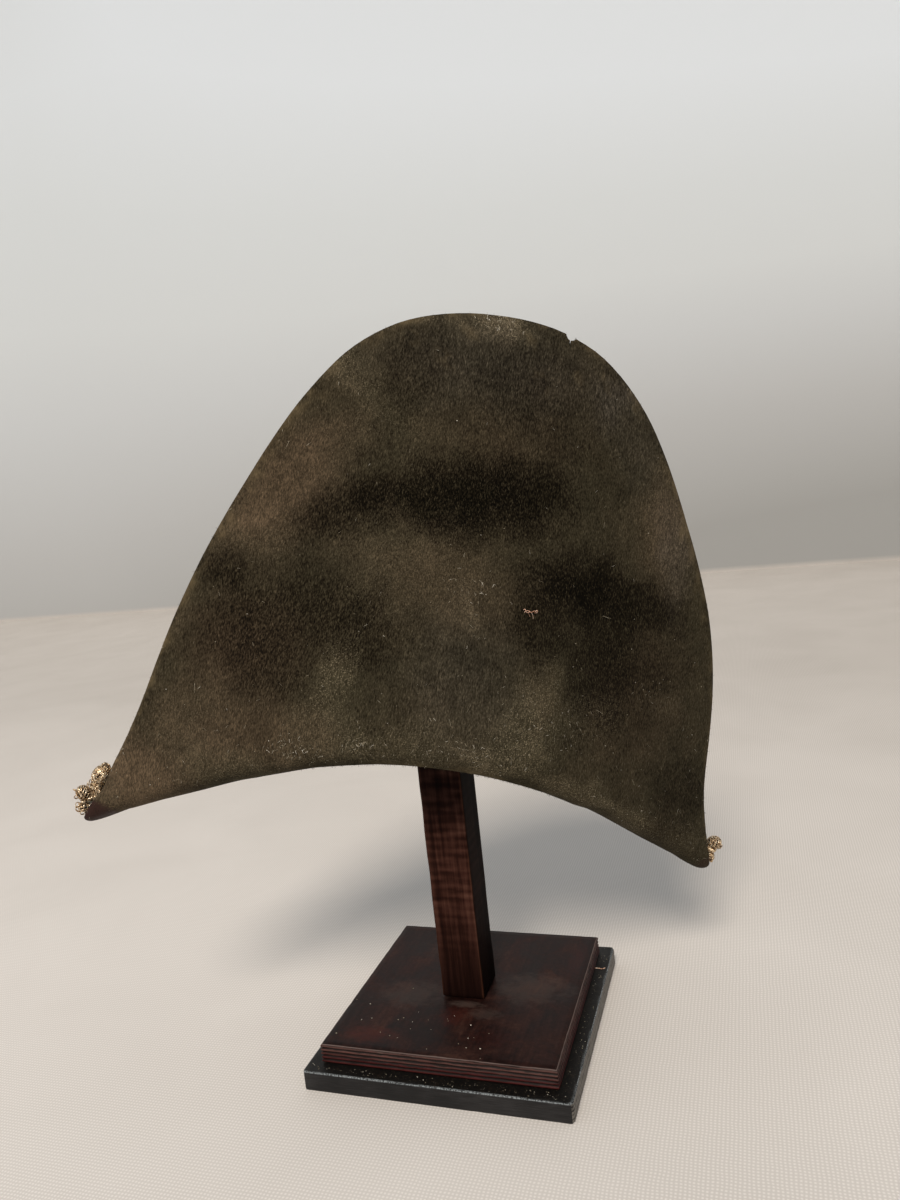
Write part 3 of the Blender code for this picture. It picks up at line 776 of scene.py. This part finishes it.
# Tan along the worn edges, partly a painted highlight where the rim catches the light
rim_patchy = add("MapRange", (layers[1], 0.42, 0.66, 0, 0.45))
rubbed_rim_and_highlight = add("Math MULTIPLY", (marks["edge"], rim_patchy))
POLISHED, RUBBED_TAN_AND_HIGHLIGHT, DUSTY = linear("#33231f"), linear("#75664c"), linear("#9c9078")
for share, over in ((painted_sheen_share, grey), (specks, DUSTY), (rubbed_rim_and_highlight, RUBBED_TAN_AND_HIGHLIGHT), (marks["polish"], POLISHED)):
    coloured = add("Mix", (share, coloured, over))
dullness = add("MapRange", (marks["polish"], 0, 1, 0.93, 0.52))
nap = add("Math MULTIPLY_ADD", (layers[3], 1.0, layers[4]))
nap = add("Math MULTIPLY_ADD", (layers[2], 1.6, nap))
sheen = {"Sheen Weight": 0.02, "Sheen Roughness": 0.45, "Sheen Tint": linear("#b5ab98")}
dull = {"Base Color": coloured, "Roughness": dullness, "Specular IOR Level": 0.06, **sheen}
surface(add, dull, (nap, 0.55, 0.0009))
felt_body.data.materials.append(felt)
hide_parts("felt_body")
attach(felt_body, "root")

# Lint: pale fibres and flecks that cling to the felt, the short hairs that stand off its
# worn edges, dust on the boards, and a few loose loops of wire thread left in the flap.
LINT_COUNT = 520
LONG_HAIRS = 46
FUZZ_COUNT = 2600
NAP_COUNT = 9000
FLECK_COUNT = 420
BOARD_DUST = 220
LINT_PATCHES = (
    # across, up, half width, half height in mm on the tall flap, fibres, flecks
    (8, 190, 9, 22, 60, 16), (-10, 202, 8, 10, 16, 4), (150, 146, 16, 12, 14, 10),
    (-101, 79, 15, 8, 52, 30), (-60, 88, 12, 7, 36, 20), (-14, 88, 12, 7, 26, 16),
    (14, 92, 14, 8, 38, 22), (58, 112, 40, 30, 70, 70), (4, 387, 14, 4, 50, 40),
)
STITCH_AT = (0.0466, -0.0700, 0.1905)
STITCH_WIRE = 0.00026


def taken_off(piece):
    """The points and faces of a small piece, which is then removed."""
    shape = points_of(piece), [tuple(face.vertices) for face in piece.data.polygons]
    bpy.data.objects.remove(piece)
    return shape


# One fibre: a flat tapering strip 1 m long, 0.05 m wide and curled, laid down at its real size
strip = new_piece("fibre", "plane", size=0.05, location=(0, 0.025, 0))
select_edges(strip, 0.04)
for rise, taper in ((0.05, 0.95), (0.11, 0.85), (0.04, 0.6)):
    bpy.ops.mesh.extrude_region_move(TRANSFORM_OT_translate={"value": (0.06, 0.30, rise)})
    bpy.ops.transform.resize(value=(taper, 1, 1))
bpy.ops.object.mode_set(mode="OBJECT")
fibre = taken_off(strip)

# One fleck: a flattened lump a metre across, laid down at its real size
fleck = taken_off(new_piece("fleck", "ico_sphere", (1.0, 0.7, 0.4), subdivisions=1, radius=0.5))


def scattered(name, shape, places, material):
    """One mesh of copies of a small shape, each laid by its own matrix."""
    points, faces = shape
    laid, joined = [], []
    for number, matrix in enumerate(places):
        turned = np.array(matrix)
        laid.append(points @ turned[:3, :3].T + turned[:3, 3])
        joined.extend(tuple(at + number * len(points) for at in face) for face in faces)
    mesh = bpy.data.meshes.new(name)
    mesh.from_pydata(np.concatenate(laid).tolist(), [], joined)
    mesh.materials.append(material)
    mesh.shade_smooth()
    return placed(name, mesh)


def lie_on(at, normal, heading, length, width, lift):
    """A matrix that lays a metre-long shape on a surface, pointing along a heading."""
    up = normal.normalized()
    forward = (heading - up * heading.dot(up)).normalized()
    forward = (forward + up * lift).normalized()
    side = forward.cross(up).normalized()
    above = side.cross(forward)
    turned = Matrix((side * width, forward * length, above * length)).transposed().to_4x4()
    return Matrix.Translation(at) @ turned


chance = random.Random(1812)
to_hat_frame = HAT_FRAME.inverted()
outside, rims = [], []
for face in felt_body.data.polygons:
    at = to_hat_frame @ face.center
    facing_y = (to_hat_frame.to_3x3() @ face.normal).y
    if facing_y * at.y > 0 and abs(facing_y) > 0.6:
        outside.append(face.index)
tall_flap = np.array([(to_hat_frame @ felt_body.data.polygons[at].center)[:] for at in outside])
tall_flap[tall_flap[:, 1] > 0] = 9.0
for vertex in felt_body.data.vertices:
    if near_edge[vertex.index] > 0.45 and hat_at[vertex.index][2] > 0.02:
        rims.append(vertex.index)
DOWN_THE_FLAP = HAT_FRAME.to_3x3() @ Vector((0.12, 0, -1))


def astray():
    """A random direction, not of unit length."""
    return Vector([chance.uniform(-1, 1) for _ in range(3)])


def on_felt(length, width, lift, wander, patch=None):
    """Where one more hair or fleck lies on the outside of the flaps, or in a patch of lint."""
    if patch:
        across, up, half_width, half_height = patch
        spot = (across + chance.gauss(0, 0.6) * half_width, up + chance.gauss(0, 0.6) * half_height)
        off = np.hypot(tall_flap[:, 0] * 1000 - spot[0], tall_flap[:, 2] * 1000 - spot[1])
        face = felt_body.data.polygons[outside[int(off.argmin())]]
    else:
        face = felt_body.data.polygons[chance.choice(outside)]
    stray = astray() * wander
    beside = face.normal.cross(DOWN_THE_FLAP).normalized() * chance.uniform(-0.0007, 0.0007)
    at = face.center + beside + face.normal * 0.00005
    return lie_on(at, face.normal, DOWN_THE_FLAP + stray, length, width, lift)


def mottled(name, cells, detail, stops, look):
    """A material whose colour follows one fine mottle, of so many cells to the metre."""
    material, add, place = new_material(name)
    mottle = add("TexNoise", Vector=place, Scale=cells, Detail=detail)
    surface(add, {"Base Color": add("ValToRGB", (mottle,), stops), **look})
    return material


# Pale cotton and dust fibres: matt, nearly white, lying loose on the nap.
LINT_STOPS = ((0.32, "#6b6252"), (0.50, "#a39a86"), (0.66, "#ebe6da"))
lint_cotton = mottled("pale_lint", 160.0, 2.0, LINT_STOPS, {"Roughness": 0.9})

# The felt's own hairs, a little greyer than its surface where the light catches them.
HAIR_STOPS = ((0.32, "#1c1911"), (0.52, "#3d3628"), (0.72, "#665c4a"))
hair_look = {"Roughness": 0.85, "Specular IOR Level": 0.1}
felt_hair = mottled("faded_felt_hair", 90.0, 3.0, HAIR_STOPS, hair_look)

lint_places = [
    on_felt(chance.uniform(0.0010, 0.0034), 0.0022 * chance.uniform(0.7, 1.3), 0.05, 3.0)
    for _ in range(LINT_COUNT)
]
lint_places += [on_felt(chance.uniform(0.0040, 0.0080), 0.0026, 0.03, 3.0) for _ in range(LONG_HAIRS)]
for *patch, fibres, flecks in LINT_PATCHES:
    lint_places += [
        on_felt(chance.uniform(0.0008, 0.0030), 0.0030, 0.10, 3.0, patch) for _ in range(fibres)
    ]
nap_places = [
    on_felt(chance.uniform(0.0012, 0.0028), 0.0030 * chance.uniform(0.7, 1.3), 0.30, 0.8)
    for _ in range(NAP_COUNT)
]
for _ in range(FUZZ_COUNT):
    vertex = felt_body.data.vertices[chance.choice(rims)]
    stray, length = astray(), chance.uniform(0.0007, 0.0017)
    nap_places.append(lie_on(vertex.co, vertex.normal, stray, length, 0.0026, 1.2))
felt_lint = scattered("felt_lint", fibre, lint_places, lint_cotton)
felt_nap = scattered("felt_nap_hairs", fibre, nap_places, felt_hair)
fleck_places = [
    on_felt(size, size, 0.0, 3.0)
    for size in (0.0003 + 0.0006 * chance.random() ** 2 for _ in range(FLECK_COUNT))
]
for *patch, fibres, flecks in LINT_PATCHES:
    fleck_places += [
        on_felt(size, size, 0.0, 3.0, patch)
        for size in (0.0003 + 0.0004 * chance.random() for _ in range(flecks))
    ]
felt_flecks = scattered("felt_flecks", fleck, fleck_places, lint_cotton)
for piece in (felt_lint, felt_nap, felt_flecks):
    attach(piece, "root")

# Dust on the boards: a few white crumbs before the post, brown ones all along the ledge
dust_places = []
for number in range(BOARD_DUST):
    if number % 8 == 0:
        spot = Vector((chance.gauss(-0.018, 0.036), chance.gauss(-0.058, 0.016), UPPER_LOW + UPPER_THICK))
        spot.x = max(-0.085, min(0.085, spot.x))
        spot.y = max(-0.085, min(0.085, spot.y))
    else:
        spot = Vector((chance.uniform(-0.097, 0.097), chance.uniform(-0.0975, -0.0905), LOWER_THICK))
        if number % 3 == 0:
            spot.x, spot.y = -spot.y, spot.x
    turn = radians(chance.uniform(0, 360))
    size = 0.00025 + 0.00065 * chance.random() ** 2
    if number % 8 == 0:
        size += 0.0007 if number % 3 == 0 else 0.0003
    heading = Vector((cos(turn), sin(turn), 0))
    dust_places.append(lie_on(spot + Vector((0, 0, size * 0.2)), Vector((0, 0, 1)), heading, size, size, 0))
board_dust = scattered("board_dust", fleck, dust_places, lint_cotton)
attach(board_dust, "root")


def new_line(name, thickness, roundness=1):
    """An empty curve in space with a round section."""
    line = bpy.data.curves.new(name, "CURVE")
    line.dimensions = "3D"
    line.bevel_depth = thickness
    line.bevel_resolution = roundness
    return line


def bent_strand(line, points):
    """Adds one smooth strand through the points to a curve, and gives its points."""
    strand = line.splines.new("BEZIER").bezier_points
    strand.add(len(points) - 1)
    for point, at in zip(strand, points):
        point.co = at
        point.handle_left_type = point.handle_right_type = "AUTO"
    return strand


def made_solid(line, material):
    """Turns a curve with thickness into a mesh piece with one material."""
    name = line.name
    pick(placed(name, line))
    bpy.ops.object.convert(target="MESH")
    piece = bpy.context.object
    piece.name = name
    piece.data.materials.clear()
    piece.data.materials.append(material)
    return piece


# Bare copper wire, dulled and pinkish, its gilding gone.
COPPER_STOPS = ((0.35, "#8f5f45"), (0.50, "#dcae93"), (0.65, "#fff0e0"))
copper_look = {"Metallic": 0.25, "Roughness": 0.4}
copper = mottled("dulled_copper_wire", 700.0, 3.0, COPPER_STOPS, copper_look)

STITCH_LINES = (
    # each wire: across, out of the face and up from the stitch's middle, in mm
    ((-5.4, 0.3, 0.2), (-4.6, 1.6, 1.2), (-3.8, 1.9, 0.2), (-4.4, 1.0, -0.8), (-5.0, 0.4, -0.2)),
    ((-3.4, 0.3, -0.5), (-2.4, 1.6, 0.5), (-1.4, 2.0, 0.2), (-1.8, 1.2, -0.9), (-2.8, 0.5, -0.9)),
    ((-1.0, 0.3, 0.4), (0.0, 1.4, -0.4), (1.2, 2.0, 0.2), (2.4, 1.6, 1.0), (3.0, 0.4, 0.2)),
    ((3.2, 0.3, -0.6), (3.4, 1.6, 0.8), (4.2, 1.8, 1.6), (4.6, 1.2, 0.4), (4.0, 0.4, -0.6)),
    ((-1.4, 0.4, -0.8), (-0.6, 1.0, -2.6), (0.4, 0.7, -4.0), (0.2, 0.5, -6.2)),
    ((0.6, 0.4, -0.6), (2.0, 0.9, -2.4), (2.6, 0.6, -4.6), (4.4, 0.4, -7.4)),
    ((-5.4, 0.4, 0.0), (-8.4, 0.7, 0.8), (-11.4, 0.4, 0.2)),
)
FALLEN_WIRE = (
    # across, back and height over the ledge
    (0.0892, 0.063, 0.0009), (0.0922, 0.064, 0.0003), (0.095, 0.0634, 0.0004), (0.0974, 0.0642, 0.001),
)
stitch_face = min(
    (felt_body.data.polygons[at] for at in outside),
    key=lambda face: (to_hat_frame @ face.center - Vector(STITCH_AT)).length,
)
line = new_line("loose_stitch", STITCH_WIRE)
line.resolution_u = 5
seat = to_hat_frame @ stitch_face.center
for number, wire in enumerate(STITCH_LINES):
    path = [HAT_FRAME @ (seat + Vector((across, -out, up)) / 1000) for across, out, up in wire]
    for point in bent_strand(line, path):
        point.radius = 1.0 if number < 4 else 0.35
stitch = made_solid(line, copper)
stitch.data.shade_smooth()
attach(stitch, "root")

# A bit of the same wire that fell on the ledge, right of the upper board
line = new_line("fallen_wire_end", STITCH_WIRE)
bent_strand(line, [(across, back, LOWER_THICK + over) for across, back, over in FALLEN_WIRE])
fallen = made_solid(line, copper)
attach(fallen, "root")

# Tassels: at each tip a head wound round with gilt wire, with thick bullions sewn to it.
# A bullion is a coil of fine wire, folded in half and twisted on itself, its end a loop.
HEAD_LENGTH, HEAD_WIDTH, HEAD_HEIGHT = 0.0200, 0.0128, 0.0130
HEADS = {"left": (-1, 0.2280, 0.0088), "right": (1, 0.2280, 0.0081)}
HEAD_WIRE = 0.00045
BULLION_WIDTH = 0.0086
BULLION_REACH = 0.0250
COIL_RADIUS = 0.00220
COIL_WIRE = 0.00034
COIL_PITCH = 0.00085
COIL_STEPS = 9
COIL_SIDES = 5
ROPE_RADIUS = 0.00265
ROPE_LAY = 0.0230
ROPE_POINTS = 30
SPINE_STEPS = 12
HEAD_TURNS = 17
BINDING_THREADS = 34
BULLIONS = {
    # across the head as a share of a bullion's width, lift and curl in degrees, length share
    "left": ((-0.1, 84, 26, 0.5), (-0.2, 12, 0, 0.42), (0.42, 20, -20, 0.44)),
    "right": (
        (-0.3, 14, -10, 0.6), (-0.3, -24, -14, 0.44), (0.3, 100, 14, 0.88), (0.43, 14, -20, 0.52),
    ),
}


def leaning(angle):
    """A unit vector that leans up from the tassel's axis by an angle."""
    return Vector((cos(angle), 0, sin(angle)))


def spine(across, lift, curl, share):
    """The middle line of one bullion from inside the head, in the tassel's own frame."""
    start = radians(lift)
    root = Vector((0.32 * HEAD_LENGTH, across * BULLION_WIDTH, 0.16 * HEAD_HEIGHT))
    here = root - leaning(start) * 0.33 * BULLION_WIDTH
    points = [here, root]
    for step in range(SPINE_STEPS):
        pitch = radians(lift + curl * (step + 0.5) / SPINE_STEPS)
        points.append(points[-1] + leaning(pitch) * share * BULLION_REACH / SPINE_STEPS)
    return points


def rope_path(points, turn):
    """Out along one side of the spine, round its end and back along the other side."""
    lengths = [0.0]
    for first, second in zip(points, points[1:]):
        lengths.append(lengths[-1] + (second - first).length)
    total = lengths[-1] - BULLION_WIDTH * 0.30
    out, back = [], []
    for step in range(ROPE_POINTS + 1):
        along = total * step / ROPE_POINTS
        cell = max(at for at, length in enumerate(lengths[:-1]) if length <= along + 1e-9)
        part = (along - lengths[cell]) / (lengths[cell + 1] - lengths[cell])
        middle = points[cell].lerp(points[cell + 1], part)
        forward = (points[cell + 1] - points[cell]).normalized()
        side = Vector((0, 1, 0))
        above = forward.cross(side)
        angle = turn + 2 * pi * along / ROPE_LAY
        away = (side * cos(angle) + above * sin(angle)) * ROPE_RADIUS
        out.append(middle + away)
        back.append(middle - away)
    bend = []
    for step in range(1, 6):
        angle = pi * step / 6
        bend.append(middle + away * cos(angle) + forward * ROPE_RADIUS * 1.15 * sin(angle))
    return out + bend + back[::-1]


def path_length(points):
    """The length of a line through the points."""
    return sum((second - first).length for first, second in zip(points, points[1:]))


def straight_strand(line, points, closed=False):
    """Adds one strand with straight runs through the points to a curve."""
    strand = line.splines.new("POLY")
    strand.points.add(len(points) - 1)
    for point, at in zip(strand.points, points):
        point.co = (*at, 1.0)
    strand.use_cyclic_u = closed


def follow(piece, points):
    """Lays a straight upright piece along the points and applies it."""
    line = new_line("bullion_line", 0)
    line.use_stretch = line.use_deform_bounds = True
    straight_strand(line, points)
    guide = placed(line.name, line)
    pick(piece)
    modify(piece, "CURVE", object=guide, deform_axis="POS_Z")
    bpy.data.objects.remove(guide)
    bpy.data.curves.remove(line)


def wound_wire(name, radius, wire, pitch, turns, steps, sides):
    """A straight upright coil of wire, swept from one small round section."""
    coil = new_piece(
        name, "circle", vertices=sides, radius=wire, location=(radius, 0, 0),
        rotation=(pi / 2, 0, 0),
    )
    modify(
        coil, "SCREW", angle=2 * pi, screw_offset=pitch, iterations=turns, steps=steps,
        render_steps=steps,
    )
    return coil


# Silvered copper wire with the last of its gilding, gone brown where it is not rubbed:
# champagne gold on the outside of the coils, dull umber between them.
gilt, add, place = new_material("tarnished_gilt_wire")
tarnish = add("TexNoise", Vector=place, Scale=620.0, Detail=3.0, Roughness=0.6)
gold = add(
    "ValToRGB", (tarnish,), ((0.34, "#463220"), (0.44, "#94775a"), (0.54, "#e2c8a2"), (0.64, "#fff4e0")),
)
worn_bright = add("MapRange", (tarnish, 0.3, 0.7, 0.5, 0.19))
surface(add, {"Base Color": gold, "Metallic": 0.8, "Roughness": worn_bright})

# Dark green-grey silk that binds the bullions, gone dusty: dull and fibrous.
SILK_STOPS = ((0.35, "#23241e"), (0.65, "#55574a"))
silk = mottled("dull_green_silk", 700.0, 3.0, SILK_STOPS, {"Roughness": 0.7})

# Yellow cotton that fills the coils, brown with age and drawn dark as painted shade between
# the turns: matt, seen only between the turns.
COTTON_STOPS = ((0.35, "#140d07"), (0.65, "#33261a"))
cotton_filling_and_shade = mottled("cotton_filling_painted_shade", 900.0, 3.0, COTTON_STOPS, {"Roughness": 0.9})

# Bullions worked over with two or three crossing layers of fine wire: their middle along,
# across and up from the head in mm, the lean of the long axis in degrees, half its length
# and its radius in mm, wires in a layer, and the layers' tilts in degrees
WOUND = {
    "left": (
        (5.8, -0.4, 19.6, 112, 7.8, 6.2, 12, (58, -34, 84)),
        (3.0, -1.4, 25.4, 60, 4.2, 3.4, 5, (20, -50)), (16.0, -3.6, 7.0, 30, 5.2, 4.9, 7, (10, 66)),
        (8.6, -2.4, 12.4, 100, 4.4, 3.4, 6, (30, -30)), (14.6, -3.4, -3.8, 20, 4.2, 3.8, 4, (24, -50)),
    ),
    "right": (
        (20.4, -3.2, 8.4, 20, 6.0, 5.2, 8, (30, -34)), (19.0, -2.6, -3.0, -70, 5.0, 3.5, 6, (30, -30)),
    ),
}
# Open rings at the ends of loose loops: along, across and up in mm, radius, two tilts
RINGS = {
    "left": (
        (17.6, -4.8, -5.2, 2.3, 10, 10), (18.8, -4.2, -2.6, 2.0, -15, 35),
        (14.8, -5.4, -1.0, 2.3, 20, -10), (11.6, -5.4, -3.2, 2.2, -20, 25),
        (14.2, -5.2, -7.2, 2.2, 25, -30), (15.2, -6.4, -4.0, 1.7, -10, -35),
        (1.0, -4.0, 27.4, 2.3, 15, 40), (-0.6, -3.4, 24.4, 2.2, -20, 30),
        (3.6, -4.4, 28.0, 1.8, 10, -20), (21.4, -3.0, 7.6, 2.0, 60, 20),
        (19.8, -4.4, 3.4, 1.8, 30, -20),
    ),
    "right": (
        (26.0, -3.6, 5.4, 2.3, 15, 20), (25.4, -4.2, 6.8, 2.0, -25, 35),
        (19.8, -4.6, -6.0, 1.7, -20, 20),
    ),
}
# Long loops that fan out of the head: lean in degrees, across, length and half width in mm
LOOSE_LOOPS = {
    "left": (
        (50, -5.4, 14.0, 1.4), (56, -4.4, 15.5, 1.6), (61, -5.6, 16.5, 1.4), (66, -4.6, 17.5, 1.5),
        (71, -5.4, 16.5, 1.5), (76, -4.4, 17.0, 1.5), (82, -5.2, 15.5, 1.4), (90, -4.2, 16.5, 1.5),
        (42, -5.0, 12.0, 1.6), (-8, -4.8, 9.5, 1.6), (-22, -4.4, 10.5, 1.6),
    ),
    "right": ((40, -3.5, 10.0, 1.6), (-4, -3.2, 10.5, 1.5), (-40, -2.6, 9.0, 1.4)),
}
WIRE = 0.00031
BINDING = 0.00030


def ball(segments, rings, radius, scale, material):
    """A stretched ball with one material."""
    piece = new_piece("core", "uv_sphere", scale, segments=segments, ring_count=rings, radius=radius)
    piece.data.materials.append(material)
    return piece


def round_in(steps):
    """The bearings of a closed loop's points."""
    return [2 * pi * step / steps for step in range(steps)]


def wind_round(line, seat, half_length, radius, wires, tilts):
    """Lays closed loops on an egg-shaped bullion in its seat, a layer of them for each tilt."""
    for tilt in tilts:
        face = Matrix.Rotation(radians(tilt), 3, "Y")
        for number in range(wires):
            depth = ((number + 0.5) / wires * 2 - 1) * 0.95 + draw.uniform(-0.02, 0.02)
            ring = sqrt(max(0.02, 1 - depth * depth))
            waver = Matrix.Rotation(radians(draw.uniform(-7, 7)), 3, "Z")
            loop = []
            for angle in round_in(26):
                at = face @ waver @ Vector((depth, ring * cos(angle), ring * sin(angle)))
                loop.append(seat @ Vector((at.x * half_length, at.y * radius, at.z * radius)))
            straight_strand(line, loop, closed=True)


for side, (tip, reach, rise) in HEADS.items():
    draw = random.Random(side)
    to_world = HAT_FRAME @ Matrix.Translation((tip * reach, 0, rise)) @ Matrix.Diagonal((tip, 1, 1, 1))
    core_size = (HEAD_LENGTH * 0.90, HEAD_WIDTH * 0.88, HEAD_HEIGHT * 0.88)
    parts = [ball(20, 12, 0.5, core_size, silk)]

    winding = wound_wire(
        "head_winding", HEAD_WIDTH / 2 - HEAD_WIRE, HEAD_WIRE, HEAD_LENGTH / (HEAD_TURNS + 1),
        HEAD_TURNS, 20, 5,
    )
    for vertex in winding.data.vertices:
        at = vertex.co
        along = at.z / HEAD_LENGTH * 2 - 1
        swell = sqrt(max(0.06, 1 - along * along))
        vertex.co = Vector((at.z - HEAD_LENGTH / 2, at.x * swell, at.y * swell))
    winding.data.materials.append(gilt)
    parts.append(winding)

    for number, (across, lift, curl, share) in enumerate(BULLIONS[side]):
        path = rope_path(spine(across, lift, curl, share), number * 1.3)
        turns = max(8, round(path_length(path) / COIL_PITCH))
        coil = wound_wire(
            f"bullion_{number}", COIL_RADIUS, COIL_WIRE, COIL_PITCH, turns, COIL_STEPS, COIL_SIDES
        )
        follow(coil, path)
        coil.data.materials.append(gilt)
        parts.append(coil)
        filling = new_line("bullion_filling", COIL_RADIUS * 0.86, 2)
        filling.use_fill_caps = True
        straight_strand(filling, path[::2])
        parts.append(made_solid(filling, cotton_filling_and_shade))

    wires = new_line("fine_wires", WIRE)
    for along, across, up, lean, half_length, radius, count, tilts in WOUND[side]:
        middle = Vector((along, across, up)) / 1000
        seat = Matrix.Translation(middle) @ Matrix.Rotation(radians(-lean), 4, "Y")
        heart = ball(16, 10, 0.001, (half_length * 0.90, radius * 0.90, radius * 0.90), cotton_filling_and_shade)
        heart.data.transform(seat)
        parts.append(heart)
        wind_round(wires, seat, half_length / 1000, radius / 1000, count, tilts)
    for along, across, up, radius, first, second in RINGS[side]:
        middle = Vector((along, across, up)) / 1000
        for twist in (0, 18):
            turn = Matrix.Rotation(radians(first + twist), 3, "X")
            turn = turn @ Matrix.Rotation(radians(second), 3, "Z")
            loop = [middle + turn @ leaning(angle) * radius / 1000 for angle in round_in(16)]
            straight_strand(wires, loop, closed=True)
    for lean, aside, length, spread in LOOSE_LOOPS[side]:
        forward = leaning(radians(lean))
        sideways = Vector((-forward.z, 0, forward.x)) * spread / 1000
        root = Vector((0.26 * HEAD_LENGTH, aside / 1000, 0.0010))
        loop = []
        for angle in round_in(20):
            run = (1 - cos(angle)) / 2
            aside = sideways * sin(angle) * (0.35 + 0.65 * run)
            loop.append(root + forward * length * run / 1000 + aside)
        straight_strand(wires, loop, closed=True)
    parts.append(made_solid(wires, gilt))

    bound = new_line("binding_threads", BINDING)
    bound.resolution_u = 4
    for _ in range(BINDING_THREADS):
        forward = leaning(radians(draw.uniform(-34, 62)))
        root = Vector((0.20 * HEAD_LENGTH, draw.uniform(-0.0066, 0.005), 0.0015))
        top = root + forward * draw.uniform(0.006, 0.0100)
        bow = Vector((0, draw.uniform(-0.002, 0.002), draw.uniform(-0.0015, 0.0015)))
        bent_strand(bound, (root, root.lerp(top, 0.5) + bow, top))
    parts.append(made_solid(bound, silk))

    start_piece()
    for piece in parts:
        piece.select_set(True)
    bpy.context.view_layer.objects.active = parts[1]
    bpy.ops.object.join()
    tassel = bpy.context.object
    tassel.name = f"bullion_tassel_{side}"
    tassel.data.transform(to_world)
    edit_whole(remove_doubles={"threshold": 0.00001}, normals_make_consistent={})
    tassel.data.shade_smooth()
    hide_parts(f"tassel_{side}")
    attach(tassel, "root")
